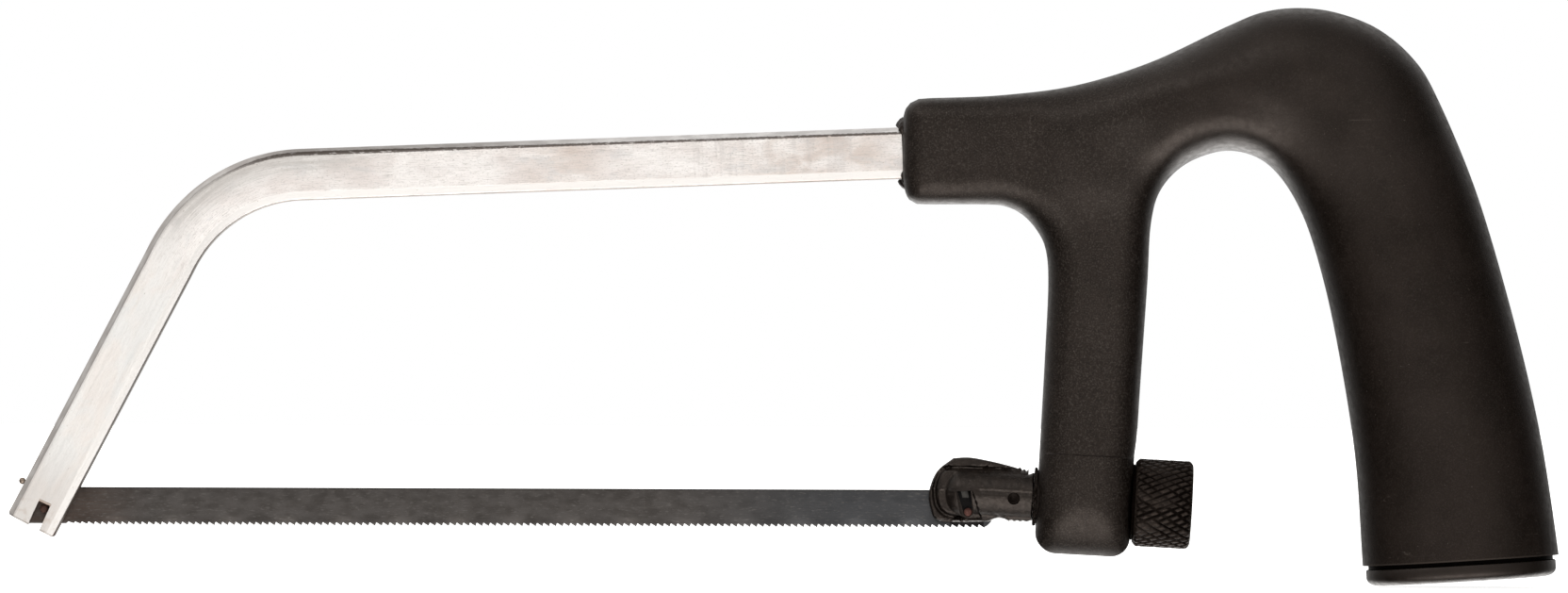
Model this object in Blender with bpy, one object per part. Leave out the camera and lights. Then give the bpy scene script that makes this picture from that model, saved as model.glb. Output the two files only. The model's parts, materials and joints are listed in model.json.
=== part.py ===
"""A junior hacksaw: flat steel bow, moulded D handle, pin-end blade and a screw tensioner.

Every shape is drawn in millimetres in the saw frame: origin at the front blade pin, +X along
the blade towards the handle, +Y across the saw, +Z up, away from the teeth. Pieces of the
tensioner are drawn in the screw frame, whose +X runs along the stud and whose origin is the
middle of the handle's boss. Meshes are scaled to metres when their objects are made. Last,
the whole saw is shifted so that the centre of its bounding box lies on the world origin.
"""

import math

import bmesh
import bpy
import numpy as np
from mathutils import Matrix, Vector
from mathutils.geometry import delaunay_2d_cdt

MM = 0.001

# Clearances
REST_GAP = 0.3  # between pieces that sit in one another
FIT_GAP = 0.1  # between small pieces that are pressed or stacked together
RUN_GAP = 0.07  # radial, where one piece turns or slides in another

# Bow: one flat bar, an arm that slopes down to the blade and a top run into the handle
BAR_WIDTH = 8.14
BAR_THICKNESS = 5.0
OUTER_CHAMFER = 0.85
INNER_CHAMFER = 0.4
ARM_FOOT = (-2.1, -2.7)
ARM_ANGLE = 62.45
BOW_CORNER = (26.6, 52.37)
BEND_RADIUS = 23.7
BEND_STEPS = 14
TOP_RISE = 2.25
TAIL_X = 171.0
TANG_X = 135.1  # the bar is thinned from here on, inside the handle
TANG_RELIEF = 0.15
ANCHOR_X = 158.0
ANCHOR_HOLE_RADIUS = 2.0

# Hook at the foot of the arm: a slit for the strip and a notch for the pin
SLIT_WIDTH = 0.95
SLIT_TOP = 3.85
NOTCH_ANGLE = 65.5
NOTCH_WIDTH = 2.0
NOTCH_INNER = 0.75
NOTCH_TOP = 0.8

# Ball-ended stop pin in the arm's outer edge
STOP_AT = (-3.44, 4.39)
STOP_Y = -1.1  # in the near cheek, clear of the slit
STOP_BALL_RADIUS = 0.5
STOP_SHANK_RADIUS = 0.3
STOP_LENGTH = 2.6

# Blade: 6 inch, 24 teeth per inch, steep tooth faces towards the handle
PIN_SPACING = 146.0
BLADE_LENGTH = 152.4
BLADE_FRONT = -2.7
BLADE_THICKNESS = 0.65
BLADE_CORNER = 0.7  # cut off the strip's lower rear corner
BLADE_TOP = 3.45
TOOTH_TIP = -2.5
TOOTH_PITCH = 25.4 / 24
TOOTH_DEPTH = 0.5
TEETH_FROM = 2.6
TEETH_TO = 148.6
PLAIN_EDGE = -2.3  # lower edge beyond the teeth, at both ends
BLADE_PIN_RADIUS = 0.65
BLADE_PIN_LENGTH = 3.2

# Screw frame, tilted with the handle's front post
BOSS_CENTRE = (165.0, 2.0)
SCREW_TILT = 3.0
BOSS_FRONT = -8.05
BOSS_REAR = 6.85
BOSS_BOTTOM = -8.75

# Blade holder
HOLDER_RADIUS = 3.85
HOLDER_NOSE = -22.9
HOLDER_REAR = -9.2
HOLDER_NOSE_LENGTH = 2.6
FIN_THICKNESS = 3.2
HOLDER_SLIT_END = 150.6
HOLDER_SLIT_TOP = 4.1
CROSS_PIN_AT = (-11.8, -0.45)
CROSS_PIN_RADIUS = 1.0
CROSS_PIN_LENGTH = 6.8

# Stud, sleeve, washer and nut, all stations along the screw axis
SPIGOT_RADIUS = 2.5
SPIGOT_FRONT = -13.4
SHANK_RADIUS = 3.6
SHANK_FRONT = -9.05
SHANK_REAR = 6.5
THREAD_RADIUS = 3.0
STUD_REAR = 15.5
SLEEVE_RADIUS = 4.2
RIM_RADIUS = 4.7
RIM_FRONT = -9.1
WASHER_RADIUS = 6.0
WASHER_THICKNESS = 0.5
NUT_RADIUS = 6.95
NUT_FRONT = 7.55
NUT_LENGTH = 8.8
NUT_CHAMFER = 0.6

# Handle shell, and the oval pocket and end cap of its grip
MOUTH_X = 135.5
MOUTH_TOP = 65.3
MOUTH_BOTTOM = 48.6
CORNER_RADIUS = 3.7
HEEL_RADIUS = 3.0
TOE_RADIUS = 3.3
CHANNEL_FROM = 130.0
PEG_HALF = 3.5  # the anchor peg reaches this far either way, into both walls of the channel
EDGE_STEP = 3.4
RING_SHARES = (0.06, 0.25, 0.55, 1.0)
GRIP_END_CENTRE = (223.9, -7.37)
GRIP_END_TILT = 3.6
GRIP_END_HALF = 15.4
CAP_INSET = 0.4
CAP_NECK_INSET = 0.8
CAP_GROOVE = 0.65
CAP_THICKNESS = 2.6
CAP_ROLL = 1.9  # its lower edge is an elliptical round, this far in
CAP_DROP = 1.3  # and this far up
SPIGOT_DEPTH = 6.0
POCKET_HALF = (11.4, 8.0)
POCKET_STRAIGHT = 10.0

# Further up, the pocket leans with the grip and narrows: centre, tilt, half length, half width
POCKET_OVALS = (((220.4, 20.0), 8.0, 10.6, 7.8), ((216.2, 42.0), 14.0, 9.0, 7.0))

# Where the handle's cross-section is set: place (x, z), how far its rounding reaches in from
# the outline, half of its thickness, and half of the flat that runs along its edge
FULLNESS = (
    ((140.0, 57.0), 3.5, 7.0, 3.4),
    ((152.0, 58.0), 4.2, 7.2, 3.1),
    ((165.0, 59.0), 7.0, 8.2, 1.5),
    ((195.0, 68.0), 10.5, 10.6, 0.5),
    ((215.0, 60.0), 12.5, 11.6, 0.5),
    ((218.0, 30.0), 13.0, 11.8, 0.5),
    ((223.0, 0.0), 13.0, 11.5, 0.5),
    ((166.0, 40.0), 5.5, 7.4, 1.6),
    ((165.5, 22.0), 5.0, 7.3, 2.0),
    ((164.5, 2.0), 6.6, 7.6, 3.0),
    ((187.0, 58.0), 5.5, 10.2, 0.8),
)


# --- Outlines -------------------------------------------------------------------------------


def direction(degrees):
    """Unit vector in the saw's plane, as (x, z)."""
    return np.array([math.cos(math.radians(degrees)), math.sin(math.radians(degrees))])


def arc(centre, radius, start, end, steps):
    """Points on an arc in the saw's plane, both ends included."""
    return [np.array(centre) + radius * direction(a) for a in np.linspace(start, end, steps + 1)]


def circle(centre, radius, segments):
    return arc(centre, radius, 0, 360, segments)[:-1]


def spline(knots, step):
    """Catmull-Rom curve through the knots, sampled about every step, its last knot left out."""
    knots = [np.array(k, float) for k in knots]
    ends = [2 * knots[0] - knots[1]] + knots + [2 * knots[-1] - knots[-2]]
    points = []
    for a, b, c, d in zip(ends, ends[1:], ends[2:], ends[3:]):
        count = max(1, round(float(np.linalg.norm(c - b)) / step))
        for t in np.arange(count) / count:
            curve = 2 * b + (c - a) * t
            curve = curve + (2 * a - 5 * b + 4 * c - d) * t**2
            curve = curve + (3 * b - a - 3 * c + d) * t**3
            points.append(curve / 2)
    return points


def in_screw_frame(u, w):
    """Point of the screw frame as (x, z) of the saw frame."""
    return np.array(BOSS_CENTRE) + u * direction(-SCREW_TILT) + w * direction(90 - SCREW_TILT)


# --- Solids in millimetres ------------------------------------------------------------------


def prism(outline, near, far):
    """Closed outline in the saw's plane, extruded across the saw from y = near to y = far."""
    bm = bmesh.new()
    face = bm.faces.new([bm.verts.new((x, near, z)) for x, z in outline])
    swept = bmesh.ops.extrude_face_region(bm, geom=[face])["geom"]
    verts = [v for v in swept if isinstance(v, bmesh.types.BMVert)]
    bmesh.ops.translate(bm, verts=verts, vec=(0, far - near, 0))
    bmesh.ops.recalc_face_normals(bm, faces=bm.faces)
    return bm


def rectangle(low, high):
    return [low, (high[0], low[1]), high, (low[0], high[1])]


def turned(profile, segments=48):
    """Solid turned about X from (x, radius) stations. A profile off the axis closes on itself."""
    bm = bmesh.new()
    rings = []
    for x, radius in profile:
        count = segments if radius > 0 else 1
        angles = [2 * math.pi * i / count for i in range(count)]
        places = [(x, radius * math.cos(a), radius * math.sin(a)) for a in angles]
        rings.append([bm.verts.new(p) for p in places])
    pairs = list(zip(rings, rings[1:]))
    if len(rings[0]) > 1:
        pairs.append((rings[-1], rings[0]))
    for first, second in pairs:
        for i in range(segments):
            corners = [first[i % len(first)], first[(i + 1) % len(first)]]
            corners += [second[(i + 1) % len(second)], second[i % len(second)]]
            bm.faces.new(list(dict.fromkeys(corners)))
    bmesh.ops.recalc_face_normals(bm, faces=bm.faces)
    return bm


def lofted(rings):
    """Solid through rings of equally many points, its two ends closed."""
    bm = bmesh.new()
    loops = [[bm.verts.new(p) for p in ring] for ring in rings]
    for first, second in zip(loops, loops[1:]):
        for i in range(len(first)):
            j = (i + 1) % len(first)
            bm.faces.new([first[i], first[j], second[j], second[i]])
    bm.faces.new(loops[0])
    bm.faces.new(loops[-1])
    bmesh.ops.recalc_face_normals(bm, faces=bm.faces)
    return bm


# --- Objects --------------------------------------------------------------------------------


def clear_scene():
    for old in list(bpy.data.objects):
        bpy.data.objects.remove(old)


def material(name, colour, roughness, metallic):
    made = bpy.data.materials.new(name)
    made.use_nodes = True
    shader = made.node_tree.nodes["Principled BSDF"]
    shader.inputs["Base Color"].default_value = (*colour, 1.0)
    shader.inputs["Roughness"].default_value = roughness
    shader.inputs["Metallic"].default_value = metallic
    return made


def empty(name, parent, at=(0.0, 0.0, 0.0), tilt=0.0):
    """Frame to hang pieces on. A positive tilt turns its +X downwards."""
    made = bpy.data.objects.new(name, None)
    made.empty_display_size = 10 * MM
    made.parent = parent
    made.location = [c * MM for c in at]
    made.rotation_euler = (0, math.radians(tilt), 0)
    bpy.context.scene.collection.objects.link(made)
    return made


def piece(name, bm, look, parent, at=(0.0, 0.0, 0.0)):
    """Object made from a solid drawn in its parent's frame, with its own origin at `at`."""
    bmesh.ops.translate(bm, verts=bm.verts, vec=[-c for c in at])
    bmesh.ops.scale(bm, verts=bm.verts, vec=(MM, MM, MM))
    mesh = bpy.data.meshes.new(name)
    bm.to_mesh(mesh)
    bm.free()
    mesh.shade_smooth()
    mesh.set_sharp_from_angle(angle=math.radians(35))
    if look:
        mesh.materials.append(look)
    made = bpy.data.objects.new(name, mesh)
    made.parent = parent
    made.location = [c * MM for c in at]
    bpy.context.scene.collection.objects.link(made)
    return made


def cut(target, name, bm, parent):
    """Takes the solid away from the target with a Boolean."""
    combine(target, name, bm, parent, "DIFFERENCE")


def combine(target, name, bm, parent, operation):
    tool = piece(name, bm, None, parent)
    tool.hide_render = True
    tool.display_type = "WIRE"
    modifier = target.modifiers.new(name, "BOOLEAN")
    modifier.object = tool
    modifier.operation = operation
    modifier.solver = "EXACT"


# --- Bow ------------------------------------------------------------------------------------


def bow_path():
    """Stations down the middle of the bar, from the foot of the arm to its tail, as (x, z)."""
    arm = direction(ARM_ANGLE)
    top = direction(TOP_RISE)
    corner = np.array(BOW_CORNER)
    reach = BEND_RADIUS * math.tan(math.radians((ARM_ANGLE - TOP_RISE) / 2))
    centre = corner - reach * arm + BEND_RADIUS * direction(ARM_ANGLE - 90)
    bend = arc(centre, BEND_RADIUS, ARM_ANGLE + 90, TOP_RISE + 90, BEND_STEPS)
    tail = corner + top * (TAIL_X - corner[0]) / top[0]
    return [np.array(ARM_FOOT)] + bend + [tail]


def bar_section(grow=0.0):
    """(outwards, across) corners of the bar: wide chamfers on its outer edge, small ones inside."""
    half = BAR_WIDTH / 2 + grow
    side = BAR_THICKNESS / 2 + grow
    corners = []
    for edge, chamfer in ((half, OUTER_CHAMFER), (-half, -INNER_CHAMFER)):
        depth = abs(chamfer)
        around = [(edge - chamfer, side), (edge, side - depth), (edge, depth - side)]
        around.append((edge - chamfer, -side))
        corners += around if edge > 0 else around[::-1]
    return corners


def swept_bar(path, grow=0.0):
    """The bar's section carried along the path, square to it at each station."""
    legs = [(b - a) / np.linalg.norm(b - a) for a, b in zip(path, path[1:])]
    rings = []
    for place, before, after in zip(path, legs[:1] + legs, legs + legs[-1:]):
        along = (before + after) / np.linalg.norm(before + after)
        outwards = np.array([-along[1], along[0]])
        spots = [(place + outwards * out, across) for out, across in bar_section(grow)]
        rings.append([(x, across, z) for (x, z), across in spots])
    return lofted(rings)


def bow_bar(look, saw):
    bow = piece("bow_bar", swept_bar(bow_path()), look, saw)
    reach = BAR_WIDTH * 1.5
    slit = rectangle((-reach, -reach), (reach, SLIT_TOP))
    cut(bow, "bow_slit_cutter", prism(slit, -SLIT_WIDTH / 2, SLIT_WIDTH / 2), saw)
    up = direction(NOTCH_ANGLE)
    inwards = direction(NOTCH_ANGLE - 90)
    notch = [
        up * rise + inwards * side
        for rise, side in rectangle((-reach, NOTCH_INNER - NOTCH_WIDTH), (NOTCH_TOP, NOTCH_INNER))
    ]
    cut(bow, "bow_notch_cutter", prism(notch, -BAR_THICKNESS, BAR_THICKNESS), saw)
    hole = prism(circle(anchor_at(), ANCHOR_HOLE_RADIUS, 24), -BAR_THICKNESS, BAR_THICKNESS)
    cut(bow, "bow_anchor_cutter", hole, saw)
    side = BAR_THICKNESS / 2 - TANG_RELIEF
    low = BOW_CORNER[1] - BAR_WIDTH
    tang = rectangle((TANG_X, low), (TAIL_X + reach, low + reach * 3))
    cut(bow, "bow_tang_near_cutter", prism(tang, -BAR_THICKNESS, -side), saw)
    cut(bow, "bow_tang_far_cutter", prism(tang, side, BAR_THICKNESS), saw)
    return bow


def anchor_at():
    """Middle of the hole in the bar's tail that the moulding locks through."""
    corner = np.array(BOW_CORNER)
    top = direction(TOP_RISE)
    return corner + top * (ANCHOR_X - corner[0]) / top[0]


def bow_stop_pin(look, saw, bow):
    """Ball head outside the arm's outer edge, on a shank pressed into a blind hole."""
    inwards = direction(ARM_ANGLE - 90)
    centre = (STOP_AT[0], STOP_Y, STOP_AT[1])
    frame = empty("stop_pin_axis", saw, centre, 90 - ARM_ANGLE)
    ball = [(-STOP_BALL_RADIUS, 0.0)]
    for angle in range(150, 40, -30):
        x, radius = STOP_BALL_RADIUS * direction(angle)
        ball.append((x, radius))
    shoulder = math.sqrt(STOP_BALL_RADIUS**2 - STOP_SHANK_RADIUS**2)
    ball += [(shoulder, STOP_SHANK_RADIUS), (STOP_LENGTH, STOP_SHANK_RADIUS), (STOP_LENGTH, 0.0)]
    made = piece("bow_stop_pin", turned(ball, 16), look, frame)
    edge = bar_edge_beyond(np.array(STOP_AT), inwards)
    radius = STOP_SHANK_RADIUS + FIT_GAP
    deep = STOP_LENGTH + REST_GAP
    hole = turned([(edge - 1.0, 0.0), (edge - 1.0, radius), (deep, radius), (deep, 0.0)], 16)
    cut(bow, "stop_hole_cutter", hole, frame)
    return made


def bar_edge_beyond(point, inwards):
    """How far in from the point the arm's outer edge lies."""
    outer = np.array(ARM_FOOT) - inwards * BAR_WIDTH / 2
    return float((outer - point) @ inwards)


# --- Blade ----------------------------------------------------------------------------------


def blade_outline():
    """Straight back and blunt ends, with a saw profile along most of the lower edge."""
    rear = BLADE_FRONT + BLADE_LENGTH
    points = [(BLADE_FRONT, BLADE_TOP), (rear, BLADE_TOP), (rear, PLAIN_EDGE + BLADE_CORNER)]
    points.append((rear - BLADE_CORNER, PLAIN_EDGE))
    points.append((TEETH_TO + TOOTH_PITCH * 0.15, PLAIN_EDGE))
    root = TOOTH_TIP + TOOTH_DEPTH
    for tooth in range(int((TEETH_TO - TEETH_FROM) / TOOTH_PITCH)):
        tip = TEETH_TO - TOOTH_PITCH * tooth
        points += [(tip, TOOTH_TIP), (tip - TOOTH_PITCH * 0.85, root)]
    last = points[-1][0]
    return points + [(last - TOOTH_PITCH * 0.3, PLAIN_EDGE), (BLADE_FRONT, PLAIN_EDGE)]


def blade(looks, pivot):
    """The strip and its two pins, drawn from the rear pin, which the blade swings on."""
    outline = [(x - PIN_SPACING, z) for x, z in blade_outline()]
    half = BLADE_THICKNESS / 2
    strip = piece("blade_strip", prism(outline, -half, half), looks["blade"], pivot)
    for name, x in (("blade_pin_front", -PIN_SPACING), ("blade_pin_rear", 0.0)):
        hole = prism(circle((x, 0), BLADE_PIN_RADIUS + FIT_GAP / 2, 20), -1.0, 1.0)
        cut(strip, name + "_hole_cutter", hole, pivot)
        length = BLADE_PIN_LENGTH / 2
        rod = prism(circle((x, 0), BLADE_PIN_RADIUS, 20), -length, length)
        piece(name, rod, looks["blade_pin"], pivot, (x, 0, 0))


# --- Tensioner ------------------------------------------------------------------------------


def holder_fin():
    """Side outline of the holder's flat plate, in the saw frame, clockwise from its heel."""
    heel_top = in_screw_frame(HOLDER_REAR - 0.25, 3.4)
    heel_foot = in_screw_frame(HOLDER_REAR - 0.25, -3.6)
    crown = [heel_top, (155.3, 6.6), (152.2, 7.4), (149.2, 8.1), (146.2, 8.6), (143.7, 8.5)]
    brow = spline([crown[-1], (141.3, 6.6), (140.1, 4.2), (139.8, 2.0), (140.4, -0.6)], 1.2)
    chin = [(140.4, -0.6), (141.4, -1.4), (144.5, -1.6), (149.4, -1.5), (150.2, -0.7)]
    return crown[:-1] + brow + chin + [(151.6, -0.8), (152.3, -1.2), heel_foot]


def window():
    """Opening in both cheeks where the rear pin drops in and is held against the blade's pull."""
    seat = (PIN_SPACING, 0.0)
    return [(144.3, 3.3), *arc(seat, BLADE_PIN_RADIUS + 0.1, 180, 360, 8), (146.4, 3.3)]


def holder_head(look, saw, screw):
    nose = HOLDER_NOSE + HOLDER_NOSE_LENGTH
    dome = [(HOLDER_NOSE, 0.0)]
    for angle in (25, 50, 75):
        x = nose - HOLDER_NOSE_LENGTH * math.cos(math.radians(angle))
        dome.append((x, HOLDER_RADIUS * math.sin(math.radians(angle))))
    dome += [(nose, HOLDER_RADIUS), (HOLDER_REAR, HOLDER_RADIUS), (HOLDER_REAR, 0.0)]
    head = piece("holder_head", turned(dome, 32), look, screw)
    half = FIN_THICKNESS / 2
    combine(head, "holder_fin_tool", prism(holder_fin(), -half, half), saw, "UNION")
    slit = rectangle((130.0, -8.0), (HOLDER_SLIT_END, HOLDER_SLIT_TOP))
    cut(head, "holder_slit_cutter", prism(slit, -SLIT_WIDTH / 2, SLIT_WIDTH / 2), saw)
    cut(head, "holder_window_cutter", prism(window(), -6.0, 6.0), saw)
    socket = SPIGOT_RADIUS + FIT_GAP
    front = SPIGOT_FRONT - FIT_GAP
    bore = [(front, 0.0), (front, socket), (HOLDER_REAR + 2, socket), (HOLDER_REAR + 2, 0.0)]
    cut(head, "holder_socket_cutter", turned(bore, 24), screw)
    return head


def cross_pin(radius, length):
    return prism(circle(CROSS_PIN_AT, radius, 20), -length / 2, length / 2)


def tensioner(looks, saw, screw):
    """Holder, stud, cross pin, sleeve, washer and nut, in order from the blade to the rear."""
    head = holder_head(looks["holder"], saw, screw)
    stations = [
        (SPIGOT_FRONT, 0.0),
        (SPIGOT_FRONT, SPIGOT_RADIUS),
        (SHANK_FRONT, SPIGOT_RADIUS),
        (SHANK_FRONT, SHANK_RADIUS),
        (SHANK_REAR, SHANK_RADIUS),
        (SHANK_REAR + SHANK_RADIUS - THREAD_RADIUS, THREAD_RADIUS),
        (STUD_REAR - 0.6, THREAD_RADIUS),
        (STUD_REAR, THREAD_RADIUS - 0.6),
        (STUD_REAR, 0.0),
    ]
    stud = piece("tension_stud", turned(stations, 36), looks["stud"], screw)
    at = (CROSS_PIN_AT[0], 0, CROSS_PIN_AT[1])
    rod = cross_pin(CROSS_PIN_RADIUS, CROSS_PIN_LENGTH)
    piece("stud_cross_pin", rod, looks["stud"], screw, at)
    for target, name in ((head, "holder_pin_hole_cutter"), (stud, "stud_pin_hole_cutter")):
        cut(target, name, cross_pin(CROSS_PIN_RADIUS + FIT_GAP / 2, 20.0), screw)

    bore = SHANK_RADIUS + RUN_GAP
    rim_rear = BOSS_FRONT - FIT_GAP
    sleeve_rear = BOSS_REAR - REST_GAP
    sleeve = [(RIM_FRONT, bore), (RIM_FRONT, RIM_RADIUS), (rim_rear, RIM_RADIUS)]
    sleeve += [(rim_rear, SLEEVE_RADIUS), (sleeve_rear, SLEEVE_RADIUS), (sleeve_rear, bore)]
    piece("guide_sleeve", turned(sleeve, 36), looks["sleeve"], screw)

    front = BOSS_REAR + FIT_GAP
    rear = front + WASHER_THICKNESS
    eye = SHANK_RADIUS + REST_GAP
    washer = [(front, eye), (front, WASHER_RADIUS), (rear, WASHER_RADIUS), (rear, eye)]
    piece("thrust_washer", turned(washer, 36), looks["washer"], screw)

    rear = NUT_FRONT + NUT_LENGTH
    bore = THREAD_RADIUS + RUN_GAP
    shoulder = NUT_RADIUS - NUT_CHAMFER
    nut = [(NUT_FRONT, bore), (NUT_FRONT, shoulder), (NUT_FRONT + NUT_CHAMFER, NUT_RADIUS)]
    nut += [(rear - NUT_CHAMFER, NUT_RADIUS), (rear, shoulder), (rear, bore)]
    piece("knurled_nut", turned(nut, 48), looks["nut"], screw, (NUT_FRONT, 0, 0))


# --- Handle ---------------------------------------------------------------------------------


def handle_outline():
    """Side outline, clockwise from the barrel's mouth. The grip runs on below its end, where
    it is cut off square afterwards, so that its section stays full down to the cut."""
    mouth_x = MOUTH_X + CORNER_RADIUS
    mouth_top = (mouth_x, MOUTH_TOP - CORNER_RADIUS)
    mouth_bottom = (mouth_x, MOUTH_BOTTOM + CORNER_RADIUS)
    crown = [(mouth_x, MOUTH_TOP), (150.7, 65.8), (162.6, 67.4), (174.5, 71.1), (186.4, 76.7)]
    crown += [(192.3, 79.1), (198.3, 79.8), (204.3, 79.0), (210.6, 76.5), (216.0, 72.0)]
    back = [(219.8, 66.0), (226.0, 51.3), (231.4, 33.5), (235.8, 15.6), (238.5, 0.0), (242.0, -26.0)]
    front = [(209.6, -26.0), (208.3, -6.0), (207.3, 8.0), (205.3, 21.4), (202.3, 36.0)]
    arch = [(198.6, 47.5), (193.6, 54.8), (187.5, 57.2), (181.0, 55.5), (176.6, 51.5)]
    arch += [(174.8, 46.0), (174.2, 36.0), in_screw_frame(7.2, 20.0), in_screw_frame(7.1, 11.0)]
    heel = in_screw_frame(BOSS_REAR - HEEL_RADIUS, BOSS_BOTTOM + HEEL_RADIUS)
    toe = in_screw_frame(BOSS_FRONT + TOE_RADIUS, BOSS_BOTTOM + TOE_RADIUS)
    post = [in_screw_frame(BOSS_FRONT, w) for w in (BOSS_BOTTOM + TOE_RADIUS, 8.0, 22.0)]
    post += [(158.6, 36.0), (158.2, 41.4), (156.8, 44.5), (154.5, 47.0), (151.8, 48.3)]
    post += [(148.5, MOUTH_BOTTOM), (mouth_x, MOUTH_BOTTOM)]
    points = arc(mouth_top, CORNER_RADIUS, 180, 90, 4)[:-1]
    points += spline(crown + back, EDGE_STEP) + [np.array(back[-1])]
    points += spline(front + arch + [in_screw_frame(BOSS_REAR, 7.5)], EDGE_STEP)
    points += [in_screw_frame(BOSS_REAR, w) for w in (7.5, 4.0, 0.0)]
    points += arc(heel, HEEL_RADIUS, -SCREW_TILT, -90 - SCREW_TILT, 4)
    points += arc(toe, TOE_RADIUS, -90 - SCREW_TILT, -180 - SCREW_TILT, 4)[:-1]
    points += spline(post, EDGE_STEP)
    points += arc(mouth_bottom, CORNER_RADIUS, 270, 180, 4)
    return np.array(points)


def distance_to(outline, points):
    """Distance of each point to a closed outline, both as arrays of (x, z)."""
    starts = outline
    spans = np.roll(outline, -1, axis=0) - starts
    offsets = points[:, None] - starts[None]
    shares = (offsets * spans).sum(2) / (spans**2).sum(1)
    nearest = starts + np.clip(shares, 0, 1)[..., None] * spans
    return np.linalg.norm(points[:, None] - nearest, axis=2).min(1)


def fullness(points):
    """(rounding reach, half thickness, half edge flat) at each point, blended between places."""
    places = np.array([f[0] for f in FULLNESS])
    values = np.array([f[1:] for f in FULLNESS])
    gaps = ((points[:, None] - places) ** 2).sum(2)
    weights = 1 / (gaps + 1.0) ** 2
    return (weights[..., None] * values).sum(1) / weights.sum(1)[:, None]


def surface_height(outline, points):
    """How far the handle's side stands out at each point: a rounded edge, then a flat side."""
    reach, half, flat = fullness(points).T
    share = np.clip(distance_to(outline, points) / reach, 0, 1)
    return flat + (half - flat) * np.sqrt(1 - (1 - share) ** 2)


def inner_points(outline):
    """Points for the side's surface: rings that follow the outline, then a loose filling."""
    along = np.roll(outline, -1, axis=0) - np.roll(outline, 1, axis=0)
    inwards = np.stack([along[:, 1], -along[:, 0]], axis=1)
    inwards /= np.linalg.norm(inwards, axis=1)[:, None]
    reach = fullness(outline)[:, 0]
    kept = list(outline)
    for share in RING_SHARES:
        ring = outline + inwards * (share * reach)[:, None]
        clear = distance_to(outline, ring) > 0.93 * share * reach
        keep_apart(kept, ring[clear], min(EDGE_STEP, 2.0 + share) * 0.42)
    xs = np.arange(outline[:, 0].min(), outline[:, 0].max(), EDGE_STEP * 1.6)
    zs = np.arange(outline[:, 1].min(), outline[:, 1].max(), EDGE_STEP * 1.6)
    grid = np.array([(x, z) for x in xs for z in zs])
    grid = grid[inside(outline, grid)]
    deep = distance_to(outline, grid) > fullness(grid)[:, 0]
    keep_apart(kept, grid[deep], EDGE_STEP * 0.8)
    return np.array(kept)[len(outline) :]


def keep_apart(kept, candidates, spacing):
    """Adds the candidates that lie at least the spacing from every point kept so far."""
    for point in candidates:
        if np.linalg.norm(np.array(kept) - point, axis=1).min() > spacing * 0.99:
            kept.append(point)


def inside(outline, points):
    """Which points lie inside the closed outline, by crossings of a ray along +X."""
    ends = np.roll(outline, -1, axis=0)
    x, z = points[:, 0, None], points[:, 1, None]
    spans = (outline[:, 1] > z) != (ends[:, 1] > z)
    rise = ends[:, 1] - outline[:, 1]
    level = np.where(rise == 0, 1.0, rise)
    cross = outline[:, 0] + (z - outline[:, 1]) * (ends[:, 0] - outline[:, 0]) / level
    return (spans & (x < cross)).sum(1) % 2 == 1


def handle_body():
    """Both sides of the handle, joined along its outline and cut off square at the grip's end."""
    outline = handle_outline()
    points = np.concatenate([outline, inner_points(outline)])
    heights = surface_height(outline, points)
    flat = [Vector(p) for p in points]
    faces = delaunay_2d_cdt(flat, [], [list(range(len(outline)))], 1, 1e-6)[2]
    bm = bmesh.new()
    sides = []
    for sign in (-1, 1):
        sides.append([bm.verts.new((p[0], sign * h, p[1])) for p, h in zip(points, heights)])
    for side in sides:
        for face in faces:
            bm.faces.new([side[i] for i in face])
    for i in range(len(outline)):
        j = (i + 1) % len(outline)
        bm.faces.new([sides[0][i], sides[0][j], sides[1][j], sides[1][i]])
    down = direction(GRIP_END_TILT - 90)
    end = (GRIP_END_CENTRE[0], 0, GRIP_END_CENTRE[1])
    everything = list(bm.verts) + list(bm.edges) + list(bm.faces)
    made = bmesh.ops.bisect_plane(
        bm, geom=everything, plane_co=end, plane_no=(down[0], 0, down[1]), clear_outer=True
    )
    rim = [e for e in made["geom_cut"] if isinstance(e, bmesh.types.BMEdge)]
    bmesh.ops.edgeloop_fill(bm, edges=rim)
    bmesh.ops.recalc_face_normals(bm, faces=bm.faces)
    return bm


def oval(centre, tilt, half_length, half_width, segments=28):
    """Oval ring square to the grip. Its length runs along the tilted X."""
    ring = []
    along = direction(tilt)
    for x, y in circle((0, 0), 1, segments):
        place = np.array(centre) + along * half_length * x
        ring.append((place[0], half_width * y, place[1]))
    return ring


def end_oval(rise, shrink):
    """Oval of the pocket's straight part, at a rise above the grip's end."""
    centre = np.array(GRIP_END_CENTRE) + rise * direction(GRIP_END_TILT + 90)
    return oval(centre, GRIP_END_TILT, POCKET_HALF[0] - shrink, POCKET_HALF[1] - shrink)


def grip_pocket():
    """Core of the grip, straight at first and then tapering, started a little below its end."""
    rings = [end_oval(-2.0, 0.0), end_oval(POCKET_STRAIGHT, 0.0)]
    return lofted(rings + [oval(*shape) for shape in POCKET_OVALS])


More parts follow.
